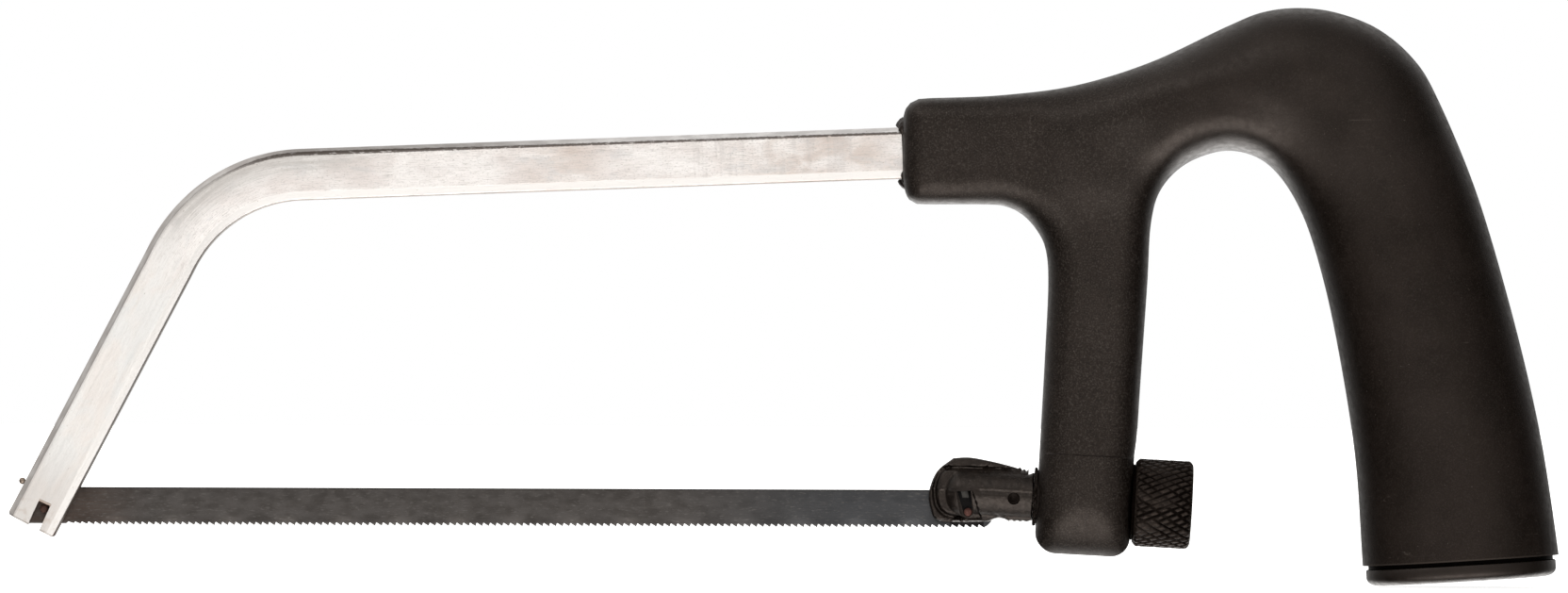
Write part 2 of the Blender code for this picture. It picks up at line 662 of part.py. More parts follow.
def handle_shell(look, saw, screw):
    shell = piece("handle_shell", handle_body(), look, saw)
    cut(shell, "grip_pocket_cutter", grip_pocket(), saw)
    path = bow_path()
    top = direction(TOP_RISE)
    mouth = path[-1] - top * (TAIL_X - CHANNEL_FROM)
    channel = swept_bar([mouth, path[-1] + top * REST_GAP], REST_GAP)
    cut(shell, "bar_channel_cutter", channel, saw)
    peg = prism(circle(anchor_at(), ANCHOR_HOLE_RADIUS - REST_GAP, 24), -PEG_HALF, PEG_HALF)
    combine(shell, "anchor_peg_tool", peg, saw, "UNION")
    radius = SLEEVE_RADIUS + FIT_GAP
    front, rear = BOSS_FRONT - 4.0, BOSS_REAR + 3.0
    bore = [(front, 0.0), (front, radius), (rear, radius), (rear, 0.0)]
    cut(shell, "sleeve_bore_cutter", turned(bore, 36), screw)
    return shell


def cap_ring(level, inset):
    """Plan of the grip's end, drawn in by the inset, at a level above it."""
    reach, half, flat = fullness(np.array([GRIP_END_CENTRE]))[0]
    quarter = []
    for angle in np.radians(np.linspace(0, 90, 8)):
        along = GRIP_END_HALF - reach * (1 - math.cos(angle))
        across = flat + (half - flat) * math.sin(angle)
        quarter.append((along * (1 - inset / GRIP_END_HALF), across * (1 - inset / half)))
    ring = quarter + [(-x, y) for x, y in quarter[::-1]]
    ring += [(-x, -y) for x, y in quarter] + [(x, -y) for x, y in quarter[::-1]]
    return [(x, y, level) for x, y in ring]


def grip_end_cap(look, saw):
    """Oval plate with a rounded lower edge, a neck that bridges the groove below the shell, and
    a spigot in the pocket."""
    frame = empty("grip_end_axis", saw, (GRIP_END_CENTRE[0], 0, GRIP_END_CENTRE[1]), -GRIP_END_TILT)
    rings = [cap_ring(-FIT_GAP, CAP_NECK_INSET), cap_ring(-CAP_GROOVE, CAP_NECK_INSET)]
    rings.append(cap_ring(-CAP_GROOVE, CAP_INSET))
    base = -CAP_GROOVE - CAP_THICKNESS
    for angle in np.radians((0, 30, 60, 90)):
        inset = CAP_INSET + CAP_ROLL * (1 - math.cos(angle))
        rings.append(cap_ring(base + CAP_DROP * (1 - math.sin(angle)), inset))
    cap = piece("grip_end_cap", lofted(rings), look, frame)
    spigot = lofted([end_oval(-CAP_GROOVE - 1.0, REST_GAP), end_oval(SPIGOT_DEPTH, REST_GAP)])
    combine(cap, "cap_spigot_tool", spigot, saw, "UNION")
    return cap


# --- Assembly -------------------------------------------------------------------------------


def centre_on_origin(saw):
    """Shifts the saw so that the centre of its bounding box lies on the world origin."""
    bpy.context.view_layer.update()
    graph = bpy.context.evaluated_depsgraph_get()
    corners = []
    for made in bpy.data.objects:
        if made.type != "MESH" or made.hide_render:
            continue
        evaluated = made.evaluated_get(graph)
        corners += [evaluated.matrix_world @ v.co for v in evaluated.data.vertices]
    corners = np.array(corners)
    middle = (corners.min(0) + corners.max(0)) / 2
    saw.matrix_world = Matrix.Translation(-Vector(middle)) @ saw.matrix_world
    bpy.context.view_layer.update()


def main():
    clear_scene()
    looks = {
        "bow": material("plated_steel", (0.62, 0.6, 0.57), 0.35, 0.9),
        "stop": material("stop_pin_steel", (0.35, 0.31, 0.27), 0.45, 0.8),
        "blade": material("blade_steel", (0.11, 0.1, 0.093), 0.5, 0.7),
        "blade_pin": material("blade_pin_steel", (0.19, 0.09, 0.06), 0.55, 0.6),
        "holder": material("cast_black", (0.035, 0.028, 0.024), 0.6, 0.4),
        "stud": material("stud_steel", (0.05, 0.043, 0.038), 0.5, 0.6),
        "sleeve": material("sleeve_black", (0.022, 0.018, 0.016), 0.6, 0.3),
        "washer": material("washer_black", (0.018, 0.015, 0.014), 0.6, 0.3),
        "nut": material("nut_black_oxide", (0.04, 0.033, 0.028), 0.5, 0.5),
        "shell": material("moulded_plastic", (0.022, 0.018, 0.016), 0.6, 0.0),
        "cap": material("cap_plastic", (0.015, 0.013, 0.012), 0.5, 0.0),
    }
    saw = empty("saw_frame", None)
    screw = empty("screw_axis", saw, (BOSS_CENTRE[0], 0, BOSS_CENTRE[1]), SCREW_TILT)
    pivot = empty("blade_pivot", saw, (PIN_SPACING, 0, 0))
    bow = bow_bar(looks["bow"], saw)
    bow_stop_pin(looks["stop"], saw, bow)
    blade(looks, pivot)
    tensioner(looks, saw, screw)
    handle_shell(looks["shell"], saw, screw)
    grip_end_cap(looks["cap"], saw)
    centre_on_origin(saw)


main()
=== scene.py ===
"""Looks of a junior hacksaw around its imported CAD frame.

Shapes are drawn in millimetres in the saw frame: origin at the front blade pin, +X along the
blade towards the handle, +Y away from the viewer, +Z up. Pieces of the tensioner use the screw
frame (u along the stud, w square to it). Each finished mesh is scaled to metres and set in the
row frame, where it stands for its CAD node.
"""

import json
import math

import bmesh
import bpy
import numpy as np
from mathutils import Matrix, Vector, noise
from mathutils.geometry import delaunay_2d_cdt


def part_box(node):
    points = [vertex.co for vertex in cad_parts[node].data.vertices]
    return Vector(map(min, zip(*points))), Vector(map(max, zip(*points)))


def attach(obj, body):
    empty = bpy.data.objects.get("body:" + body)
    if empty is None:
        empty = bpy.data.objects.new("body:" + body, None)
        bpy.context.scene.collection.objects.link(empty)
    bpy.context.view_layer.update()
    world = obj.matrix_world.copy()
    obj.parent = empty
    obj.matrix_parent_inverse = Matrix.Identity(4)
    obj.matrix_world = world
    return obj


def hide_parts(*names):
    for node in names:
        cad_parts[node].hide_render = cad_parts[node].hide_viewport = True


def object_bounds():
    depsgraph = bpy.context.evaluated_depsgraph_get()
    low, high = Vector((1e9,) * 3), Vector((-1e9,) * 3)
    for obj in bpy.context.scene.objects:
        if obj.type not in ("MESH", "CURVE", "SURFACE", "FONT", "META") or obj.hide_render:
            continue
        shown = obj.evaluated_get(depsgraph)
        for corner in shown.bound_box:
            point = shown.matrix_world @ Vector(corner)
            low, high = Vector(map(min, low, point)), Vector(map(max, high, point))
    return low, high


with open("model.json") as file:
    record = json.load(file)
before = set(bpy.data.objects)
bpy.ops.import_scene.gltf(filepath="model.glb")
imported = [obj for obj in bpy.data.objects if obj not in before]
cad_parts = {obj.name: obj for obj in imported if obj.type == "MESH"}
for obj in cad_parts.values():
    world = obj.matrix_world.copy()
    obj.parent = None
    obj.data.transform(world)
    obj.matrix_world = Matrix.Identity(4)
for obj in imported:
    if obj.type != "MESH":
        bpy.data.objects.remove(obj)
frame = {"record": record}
CAD_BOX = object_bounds()

MM = 0.001
SNUG = 0.99995  # holds the fine meshes just inside the box of the faceted solids
FRONT_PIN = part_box("blade_pin_front")
ORIGIN = (FRONT_PIN[0] + FRONT_PIN[1]) / 2  # the saw frame's origin, in the row frame
BODY_OF = {n: b for b, ns in frame["record"]["behaviour"]["bodies"].items() for n in ns}
BORE_GAP = 0.1  # room between a bore and what sits in it
RUNNING_GAP = 0.07  # the same where the stud slides or the nut turns
THROUGH = 6.0  # half length of a cutter that goes right through the tensioner

# Bow
BAR_WIDTH = 8.14
BAR_THICKNESS = 5.0
OUTER_CHAMFER = 0.85
INNER_CHAMFER = 0.5
INNER_ROLL = 1.35  # how far the bright, slightly sloped band reaches in from the inner edge
ARM_FOOT = np.array([-2.1, -2.7])
ARM_ANGLE = 62.45
BOW_CORNER = np.array([26.6, 52.37])
BEND_RADIUS = 23.7
BEND_STEPS = 48
STRAIGHT_STEP = 2.5  # spacing of the bar's stations along its straight lengths
BOW_EASE = 0.07  # width of the small bevels along all its edges
TOP_RISE = 2.25
TAIL_X = 171.0
SLIT_WIDTH = 0.95
SLIT_TOP = 3.85
NOTCH_ANGLE = 65.5
NOTCH_WIDTH = 2.0
NOTCH_INNER = 0.75
NOTCH_TOP = 0.8
NOTCH_CORNER = 0.15
NOTCH_CUTTER_HALF = 4.0
MOUTH_X = 135.5
CHANNEL_X = 131.0  # front of the cutter that makes room for the tang in the handle
CHANNEL_GAP = 0.06

# Stop pin
STOP_CENTRE = np.array([-3.44, 4.39])
STOP_DEPTH = -1.1
STOP_BALL_RADIUS = 0.55
STOP_SHANK_RADIUS = 0.3
STOP_LENGTH = 2.6
STOP_HOLE_DEPTH = 3.0

# Blade
PIN_SPACING = 146.0
BLADE_FRONT = -2.7
BLADE_REAR = 149.7
BLADE_HALF = 0.325
BLADE_TOP = 3.45
TOOTH_TIP = -2.5
TOOTH_PITCH = 25.4 / 24
TOOTH_DEPTH = 0.5
TEETH_FROM = 2.6
TEETH_TO = 148.6
PLAIN_EDGE = -2.3
BLADE_PIN_RADIUS = 0.65
BLADE_PIN_HALF = 1.6
TOOTH_SET = 0.13
SET_PERIOD = 9.0

# Tensioner, in the screw frame
BOSS_CENTRE = np.array([165.0, 2.0])
SCREW_TILT = 3.0
BOSS_FRONT = -8.05
BOSS_REAR = 6.85
BOSS_BOTTOM = -8.75
HOLDER_RADIUS = 3.85
HOLDER_NOSE = -22.9
HOLDER_NOSE_LENGTH = 2.6
HOLDER_REAR = -8.8
FIN_HALF = 1.6
FIN_EDGE = 0.45  # radius of its rounded rim
HOLDER_SLIT_REAR = 150.6
HOLDER_SLIT_TOP = 4.1
SEAT_TOP = 3.3
SEAT_RECESS = 1.25  # the wider mouth of the seat begins this far from the middle plane
CROSS_PIN_AT = (-11.8, -0.45)
CROSS_PIN_HOLE = 0.98
SPIGOT_RADIUS = 2.5
SPIGOT_FRONT = -13.4
SHANK_RADIUS = 3.6
SHANK_FRONT = -8.65
SHANK_REAR = 6.5
THREAD_RADIUS = 3.0
THREAD_DEPTH = 0.32
THREAD_PITCH = 1.0
THREAD_FROM = 7.2
STUD_REAR = 15.5
SLEEVE_RADIUS = 4.2
RIM_RADIUS = 4.7
RIM_FRONT = -8.68
WASHER_RADIUS = 6.0
WASHER_THICKNESS = 0.26
NUT_RADIUS = 6.95
NUT_FRONT = 7.22
NUT_LENGTH = 9.13
KNURL_DEPTH = 0.34

# Handle
GRIP_END_CENTRE = np.array([223.9, -7.37])
GRIP_END_TILT = 3.6
GRIP_END_HALF = 15.4
CAP_INSET = 0.4
CAP_GROOVE = 0.65
CAP_THICKNESS = 2.6
CAP_NECK_INSET = 0.8
CAP_NECK_ACROSS = 2.4  # inset of the neck across the saw
CAP_ROLL = 1.9
CAP_DROP = 1.3
POCKET_HALF = (11.4, 8.0)  # half length and half width of the hollow at the grip's end
CAP_SPIGOT_HALF = (11.1, 7.7)  # the same of the spigot that sits in it
BOSS_ROUND = 0.86  # how nearly the underside of the boss is a half round
WITNESS_LINE = 7.0  # the boss stands proud below this level of the screw frame

# Where the handle's section is set: place, how far the rounding reaches in from the outline,
# half of the thickness, half of the flat along its edge
FULLNESS = (
    ((140.0, 57.0), 3.5, 7.0, 3.4),
    ((152.0, 58.0), 4.2, 7.2, 3.1),
    ((165.0, 59.0), 7.0, 8.2, 1.5),
    ((195.0, 68.0), 10.5, 10.6, 0.5),
    ((215.0, 60.0), 12.5, 11.6, 0.5),
    ((218.0, 30.0), 13.0, 11.8, 0.5),
    ((223.0, 0.0), 13.0, 11.5, 0.5),
    ((166.0, 40.0), 5.5, 7.4, 1.6),
    ((165.5, 22.0), 5.0, 7.3, 2.0),
    ((164.5, 2.0), 6.6, 7.6, 3.0),
    ((187.0, 58.0), 5.5, 10.2, 0.8),
)

WARM_SHEEN = (1.0, 0.86, 0.78)  # tint of the blackened and moulded surfaces' shine
WEAR_RADIUS = 0.12  # how wide the worn edges of the dark metals are
# Colour of the painted shade in the nut's knurl grooves
GROOVE_SHADE = (0.0025, 0.0016, 0.0012)

# Dark metals: dark, light and worn colour, roughness, metallic, depth of the grain, specular
METALS = {
    "cast_black": (
        (0.0045, 0.003, 0.0022), (0.011, 0.0078, 0.006), (0.05, 0.039, 0.032), 0.36, 0.0, 0.04, 0.3
    ),
    "stud_steel": (
        (0.016, 0.012, 0.01), (0.032, 0.026, 0.022), (0.09, 0.075, 0.065), 0.42, 0.5, 0.02, 0.3
    ),
    "black_steel": (
        (0.0045, 0.003, 0.0024), (0.008, 0.0056, 0.0045), (0.03, 0.022, 0.018), 0.6, 0.0, 0.04, 0.1
    ),
    # Painted shade: the washer is nearly black, standing for the dark gap between the boss and the nut
    "washer_shade_steel": (
        (0.0014, 0.0007, 0.0004), (0.0026, 0.0015, 0.001), (0.01, 0.007, 0.005), 0.7, 0.0, 0.02, 0.02
    ),
    "stop_pin_steel": (
        (0.16, 0.12, 0.09), (0.26, 0.21, 0.17), (0.45, 0.38, 0.32), 0.35, 0.85, 0.02, 0.5
    ),
}

# Mouldings: dark, light and speckle colour, specular, how pebbled the skin is
PLASTICS = {
    "moulded_plastic": ((0.0062, 0.0038, 0.0026), (0.0105, 0.007, 0.0054), (0.13, 0.11, 0.095), 0.24, 1.0),
    "cap_plastic": ((0.006, 0.0038, 0.0028), (0.0095, 0.0065, 0.005), (0.09, 0.08, 0.07), 0.3, 0.0),
    # Painted shade: the neck in the groove above the cap is nearly black, as the groove's shade
    "groove_shade_plastic": ((0.0025, 0.0018, 0.0013), (0.004, 0.003, 0.0024), (0.02, 0.016, 0.013), 0.03, 0.0),
}


# --- Outlines -------------------------------------------------------------------------------


def direction(degrees):
    return np.array([math.cos(math.radians(degrees)), math.sin(math.radians(degrees))])


def arc(centre, radius, start, end, steps):
    return [np.array(centre) + radius * direction(a) for a in np.linspace(start, end, steps + 1)]


def circle(centre, radius, segments):
    return arc(centre, radius, 0, 360, segments)[:-1]


def rectangle(left, low, right, high):
    return [(left, low), (right, low), (right, high), (left, high)]


def mirrored(profile):
    """The (u, radius) stations of one half, and the same of the other half."""
    return profile + [(-u, radius) for u, radius in profile[::-1]]


def spline(knots, step):
    """Catmull-Rom curve through the knots, sampled about every step, its last knot left out."""
    knots = [np.array(k, float) for k in knots]
    ends = [2 * knots[0] - knots[1]] + knots + [2 * knots[-1] - knots[-2]]
    points = []
    for a, b, c, d in zip(ends, ends[1:], ends[2:], ends[3:]):
        count = max(1, round(float(np.linalg.norm(c - b)) / step))
        for t in np.arange(count) / count:
            curve = 2 * b + (c - a) * t
            curve = curve + (2 * a - 5 * b + 4 * c - d) * t**2
            curve = curve + (3 * b - a - 3 * c + d) * t**3
            points.append(curve / 2)
    return points


def in_screw_frame(u, w):
    """Point of the screw frame as (x, z) of the saw frame."""
    return BOSS_CENTRE + u * direction(-SCREW_TILT) + w * direction(90 - SCREW_TILT)


def to_screw_frame(points):
    """(u, w) of points given as (x, z) of the saw frame."""
    offset = points - BOSS_CENTRE
    return offset @ direction(-SCREW_TILT), offset @ direction(90 - SCREW_TILT)


def distance_to(line, points, closed=True):
    """Distance of each point to a line of (x, z) points."""
    starts = np.asarray(line) if closed else np.asarray(line)[:-1]
    spans = (np.roll(line, -1, axis=0) - np.asarray(line))[: len(starts)]
    found = np.empty(len(points))
    for i in range(0, len(points), 1000):
        offsets = points[i : i + 1000, None] - starts[None]
        shares = (offsets * spans).sum(2) / np.maximum((spans**2).sum(1), 1e-12)
        nearest = starts + np.clip(shares, 0, 1)[..., None] * spans
        found[i : i + 1000] = np.linalg.norm(points[i : i + 1000, None] - nearest, axis=2).min(1)
    return found


def inside(outline, points):
    """Which points lie inside the closed outline, by crossings of a ray along +X."""
    ends = np.roll(outline, -1, axis=0)
    x, z = points[:, 0, None], points[:, 1, None]
    spans = (outline[:, 1] > z) != (ends[:, 1] > z)
    rise = ends[:, 1] - outline[:, 1]
    level = np.where(rise == 0, 1.0, rise)
    cross = outline[:, 0] + (z - outline[:, 1]) * (ends[:, 0] - outline[:, 0]) / level
    return (spans & (x < cross)).sum(1) % 2 == 1


def inwards_from(outline):
    """Unit vectors square to a clockwise outline, pointing into it."""
    along = np.roll(outline, -1, axis=0) - np.roll(outline, 1, axis=0)
    inwards = np.stack([along[:, 1], -along[:, 0]], axis=1)
    return inwards / np.linalg.norm(inwards, axis=1)[:, None]


def filling(outline, low, high, step):
    """Points of a staggered grid between two corners that lie inside the outline."""
    xs, zs = (np.arange(start, end, step) for start, end in zip(low, high))
    grid = np.array([(x + (j % 2) * step / 2, z) for j, z in enumerate(zs) for x in xs])
    return grid[inside(outline, grid)]


def smooth_step(value, start, end):
    share = np.clip((value - start) / (end - start), 0, 1)
    return share * share * (3 - 2 * share)


def rough(points, scale, seed=0.0):
    """Layered noise between about -1 and 1 at each (x, y, z) point."""
    shift = Vector((seed, seed, seed))
    return np.array([noise.fractal(Vector(p) * scale + shift, 1.0, 2.0, 3) for p in points])


# --- Solids in millimetres ------------------------------------------------------------------


def linked(name, data):
    made = bpy.data.objects.new(name, data)
    bpy.context.scene.collection.objects.link(made)
    return made


def draft(verts, faces):
    """Object with the mesh as drawn, to be cut and then finished."""
    mesh = bpy.data.meshes.new("draft")
    mesh.from_pydata([tuple(v) for v in verts], [], [tuple(f) for f in faces])
    bm = bmesh.new()
    bm.from_mesh(mesh)
    bmesh.ops.recalc_face_normals(bm, faces=bm.faces)
    bm.to_mesh(mesh)
    bm.free()
    return linked("draft", mesh)


def grid_faces(rows, columns, wrap_rows=False):
    faces = []
    for i in range(rows if wrap_rows else rows - 1):
        for j in range(columns):
            k, m = (i + 1) % rows, (j + 1) % columns
            faces.append((i * columns + j, i * columns + m, k * columns + m, k * columns + j))
    return faces


def lofted(rings):
    """Solid through rings of equally many points, its two ends closed."""
    rings = np.array(rings, float)
    count = rings.shape[1]
    faces = grid_faces(len(rings), count)
    faces.append(tuple(range(count)))
    faces.append(tuple(range((len(rings) - 1) * count, len(rings) * count)))
    return draft(rings.reshape(-1, 3), faces)


def prism(outline, near, far):
    return lofted([[(x, y, z) for x, z in outline] for y in (near, far)])


def cutter(outline, half=THROUGH):
    """Prism that reaches equally far to both sides of the saw's middle plane."""
    return prism(outline, -half, half)


def lengthwise(centre, along, depth=0.0):
    """Sets a turned solid's (u, across, w) points with its axis in the saw's middle plane."""

    def place(u, across, w):
        x = centre[0] + u * along[0] - w * along[1]
        z = centre[1] + u * along[1] + w * along[0]
        return np.stack([x, depth + across, z], -1)

    return place


def crosswise(centre):
    """Sets a turned solid's (u, across, w) points with its axis across the saw."""

    def place(u, across, w):
        return np.stack([centre[0] + across, u, centre[1] + w], -1)

    return place


ON_SCREW = lengthwise(BOSS_CENTRE, direction(-SCREW_TILT))


def turned(profile, segments, change=None, place=ON_SCREW):
    """Solid turned about an axis from (u, radius) stations. A profile off the axis closes on
    itself. `change` may move each point's (u, radius) by its station and angle."""
    profile = np.array(profile, float)
    hollow = profile[0][1] > 0
    stations = profile if hollow else profile[1:-1]
    angles = 2 * math.pi * np.arange(segments) / segments
    u = np.repeat(stations[:, :1], segments, 1)
    radius = np.repeat(stations[:, 1:], segments, 1)
    if change:
        u, radius = change(u, radius, np.broadcast_to(angles, u.shape))
    verts = place(u, -radius * np.sin(angles), radius * np.cos(angles)).reshape(-1, 3)
    faces = grid_faces(len(stations), segments, wrap_rows=hollow)
    if not hollow:
        for station, row in ((profile[0], 0), (profile[-1], len(stations) - 1)):
            tip = len(verts)
            verts = np.vstack([verts, place(station[:1], np.zeros(1), np.zeros(1))])
            for j in range(segments):
                faces.append((tip, row * segments + j, row * segments + (j + 1) % segments))
    return draft(verts, faces)


def rod(start, end, radius, segments, place=ON_SCREW):
    """Plain cylinder between two stations of an axis."""
    return turned([(start, 0.0), (start, radius), (end, radius), (end, 0.0)], segments, None, place)


def slab(outline, inner, height, offset=None, holes=()):
    """Solid whose two sides stand `height` from the saw's middle plane, over an outline filled
    with the inner points."""
    loops, first = [], 0
    for loop in (outline, *holes):
        loops.append(list(range(first, first + len(loop))))
        first += len(loop)
    points = [Vector(p) for p in np.concatenate([outline, *holes, inner])]
    edges = [(a, b) for loop in loops for a, b in zip(loop, loop[1:] + loop[:1])]
    made = delaunay_2d_cdt(points, edges, [loops[0]], 1, 1e-6)
    flat = np.array([tuple(v) for v in made[0]])
    faces = np.array([f for f in made[2] if len(f) == 3])
    middles = flat[faces].mean(1)
    for hole in holes:
        keep = ~inside(hole, middles)
        faces, middles = faces[keep], middles[keep]
    used, index = np.unique(faces, return_inverse=True)
    flat, faces = flat[used], index.reshape(-1, 3)
    shift = offset(flat) if offset else 0.0
    levels = (shift - height(flat, -1), shift + height(flat, 1))
    verts = np.concatenate([np.stack([flat[:, 0], y, flat[:, 1]], -1) for y in levels])
    count = len(flat)
    sides = np.concatenate([faces, faces[:, ::-1] + count])
    ends = np.concatenate([faces[:, [0, 1]], faces[:, [1, 2]], faces[:, [2, 0]]]).tolist()
    seen = {tuple(e) for e in ends}
    walls = [(b, a, a + count, b + count) for a, b in ends if (b, a) not in seen]
    return draft(verts, [tuple(f) for f in sides.tolist()] + walls)


def modified(made, kind, **settings):
    modifier = made.modifiers.new(kind, kind)
    for key, value in settings.items():
        setattr(modifier, key, value)
    graph = bpy.context.evaluated_depsgraph_get()
    mesh = bpy.data.meshes.new_from_object(made.evaluated_get(graph))
    made.modifiers.clear()
    made.data = mesh


def boolean(made, tool, operation="DIFFERENCE"):
    modified(made, "BOOLEAN", object=tool, operation=operation, solver="EXACT")
    bpy.data.objects.remove(tool)


def smoothed(mesh, degrees):
    """Smooth shading, with sharp edges where faces meet at more than the angle."""
    mesh.shade_smooth()
    mesh.set_sharp_from_angle(angle=math.radians(degrees))


def places_of(mesh):
    places = np.empty(len(mesh.vertices) * 3, np.float32)
    mesh.vertices.foreach_get("co", places)
    return places.reshape(-1, 3)


def show(made, name, look, node, sharp):
    """Sets the drawn mesh in the row frame as a piece that stands for its CAD node."""
    places = (places_of(made.data) * MM + np.array(ORIGIN)) * SNUG
    made.data.vertices.foreach_set("co", places.astype(np.float32).ravel())
    made.data.update()
    made.name = made.data.name = name
    smoothed(made.data, sharp)
    made.data.materials.clear()
    made.data.materials.append(look)
    if node:
        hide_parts(node)
    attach(made, BODY_OF[node] if node else "frame")


# --- Materials ------------------------------------------------------------------------------


class Nodes:
    """Short names for the nodes that the materials and the tent are made of."""

    def __init__(self, tree):
        self.tree = tree

    def node(self, kind, settings=None, **inputs):
        made = self.tree.nodes.new(kind)
        for key, value in (settings or {}).items():
            setattr(made, key, value)
        for key, value in inputs.items():
            self.feed(made.inputs[key.replace("_", " ")], value)
        return made

    def feed(self, socket, value):
        if isinstance(value, bpy.types.NodeSocket):
            self.tree.links.new(value, socket)
        elif socket.type == "RGBA":
            socket.default_value = (*value, 1.0)
        else:
            socket.default_value = value

    def combined(self, kind, settings, *values):
        """Node whose first inputs take the values."""
        made = self.node(kind, settings)
        for socket, value in zip(made.inputs, values):
            self.feed(socket, value)
        return made

    def vector(self, operation, a, b):
        made = self.combined("ShaderNodeVectorMath", {"operation": operation}, a, b)
        return made.outputs["Value" if operation == "DOT_PRODUCT" else "Vector"]

    def axes(self, vector):
        return list(self.node("ShaderNodeSeparateXYZ", Vector=vector).outputs)

    def math(self, operation, a, b=0.0, c=0.0):
        return self.combined("ShaderNodeMath", {"operation": operation}, a, b, c).outputs[0]

    def both(self, *masks):
        result = masks[0]
        for mask in masks[1:]:
            result = self.math("MULTIPLY", result, mask)
        return result

    def spread(self, value, low, high, to_low=0.0, to_high=1.0):
        """Eases from one level to the other as the value goes from low to high."""
        settings = {"interpolation_type": "SMOOTHSTEP"}
        values = (value, low, high, to_low, to_high)
        return self.combined("ShaderNodeMapRange", settings, *values).outputs["Result"]

    def band(self, value, low, high, soft):
        """1 between low and high, fading over `soft` on both sides."""
        rise = self.spread(value, low - soft, low + soft)
        return self.both(rise, self.spread(value, high - soft, high + soft, 1.0, 0.0))


class Look(Nodes):
    """One Principled material: a base colour, coats laid over it, and relief. `place` is in the
    saw frame, in millimetres, and may be changed to the place along a bent piece."""

    def __init__(self, name):
        self.material = bpy.data.materials.new(name)
        self.material.use_nodes = True
        super().__init__(self.material.node_tree)
        self.shader = self.tree.nodes["Principled BSDF"]
        at = self.node("ShaderNodeTexCoord").outputs["Object"]
        in_mm = self.vector("MULTIPLY", at, (1 / MM,) * 3)
        self.place = self.vector("SUBTRACT", in_mm, tuple(c / MM for c in ORIGIN))
        self.x, _, self.z = self.axes(self.place)
        self.base = self.relief = None

    def noise(self, scale, detail, stretch=None, distortion=0.0, place=None):
        place = place or self.place
        if stretch:
            place = self.vector("MULTIPLY", place, stretch)
        values = {"Scale": scale, "Detail": detail, "Distortion": distortion, "Roughness": 0.55}
        return self.node("ShaderNodeTexNoise", Vector=place, **values).outputs[0]

    def patches(self, low, high, *kind, to=(0.0, 1.0), place=None):
        """Mask of the places where a noise of the kind rises from low to high."""
        return self.spread(self.noise(*kind, place=place), low, high, *to)

    def mix(self, share, a, b):
        made = self.node("ShaderNodeMix", {"data_type": "RGBA"})
        for index, value in ((0, share), (6, a), (7, b)):
            self.feed(made.inputs[index], value)
        return made.outputs[2]

    def coat(self, mask, colour, share=1.0):
        """Lays a colour over the base where the mask is set."""
        self.base = self.mix(mask if share == 1.0 else self.both(mask, share), self.base, colour)

    def bump(self, height, depth):
        """Adds relief of the given depth in millimetres."""
        made = self.node("ShaderNodeBump", Height=height, Strength=1.0, Distance=depth * MM)
        if self.relief:
            self.feed(made.inputs["Normal"], self.relief)
        self.relief = made.outputs["Normal"]

    def done(self, roughness, metallic, specular, tint=(1.0, 1.0, 1.0)):
        values = {"Base Color": self.base, "Roughness": roughness, "Metallic": metallic}
        values |= {"Specular IOR Level": specular, "Specular Tint": tint}
        if self.relief:
            values["Normal"] = self.relief
        for key, value in values.items():
            self.feed(self.shader.inputs[key], value)
        return self.material

    def edge_wear(self):
        """1 on worn convex edges, from how far a rounded normal turns away."""
        bevel = self.node("ShaderNodeBevel", {"samples": 4}, Radius=WEAR_RADIUS * MM)
        normal = self.node("ShaderNodeNewGeometry").outputs["Normal"]
        return self.spread(self.vector("DOT_PRODUCT", bevel.outputs[0], normal), 0.99, 0.86)


def scaled(colour, factor):
    return tuple(c * factor for c in colour)


def moulded(name, dark, light, speckle, specular, grained):
    """Matt moulded plastic: clouded, dusty, with faint scuffs. The grain is a pebbled skin,
    strong on the barrel and the post and rubbed away along the grip."""
    look = Look(name)
    look.base = look.mix(look.patches(0.34, 0.66, 0.12, 5.0, None, 0.4), dark, light)
    skin = look.spread(look.x, 168.0, 186.0, grained, grained * 0.3)
    pebble = look.noise(4.2, 2.0)
    look.coat(look.both(look.spread(pebble, 0.46, 0.72), skin), scaled(speckle, 0.24))
    pits = look.patches(0.36, 0.46, 2.1, 3.0, to=(1.0, 0.0))
    look.coat(look.both(pits, skin), scaled(dark, 0.4), 0.6)
    elsewhere = look.vector("ADD", look.place, (40.0, 9.0, 3.0))
    look.coat(look.patches(0.72, 0.8, 2.6, 2.0, place=elsewhere), speckle, 0.5)
    look.coat(look.patches(0.68, 0.78, 0.5, 4.0, (0.25, 1.0, 2.4), 1.2), speckle, 0.18)
    look.bump(pebble, 0.008 + 0.008 * grained)
    look.bump(look.noise(0.8, 3.0), 0.03)
    roughness = look.patches(0.3, 0.7, 0.9, 4.0, to=(0.34, 0.48))
    facing = look.node("ShaderNodeLayerWeight", Blend=0.5).outputs["Facing"]
    matt = look.spread(facing, 0.6, 0.97, 1.0, 0.3)
    if grained:
        # Painted highlight: a lighter band along the grip's cut rim, just above the cap
        up = direction(GRIP_END_TILT + 90)
        level = look.math("MULTIPLY_ADD", look.z, up[1], -float(up @ GRIP_END_CENTRE))
        level = look.math("MULTIPLY_ADD", look.x, up[0], level)
        look.coat(look.band(level, 0.02, 0.24, 0.05), (0.03, 0.024, 0.02), 0.8)
        held = look.both(look.spread(look.x, 194.0, 206.0), look.spread(look.z, 44.0, 60.0, 1.0, 0.0))
        arch = look.both(look.band(look.x, 168.0, 196.0, 4.0), look.band(look.z, 55.5, 62.0, 2.0))
        shine = look.math("MULTIPLY_ADD", held, -0.3 * specular, specular)
        specular = look.math("MULTIPLY_ADD", arch, 0.1, shine)
    return look.done(roughness, 0.0, look.both(matt, specular), WARM_SHEEN)


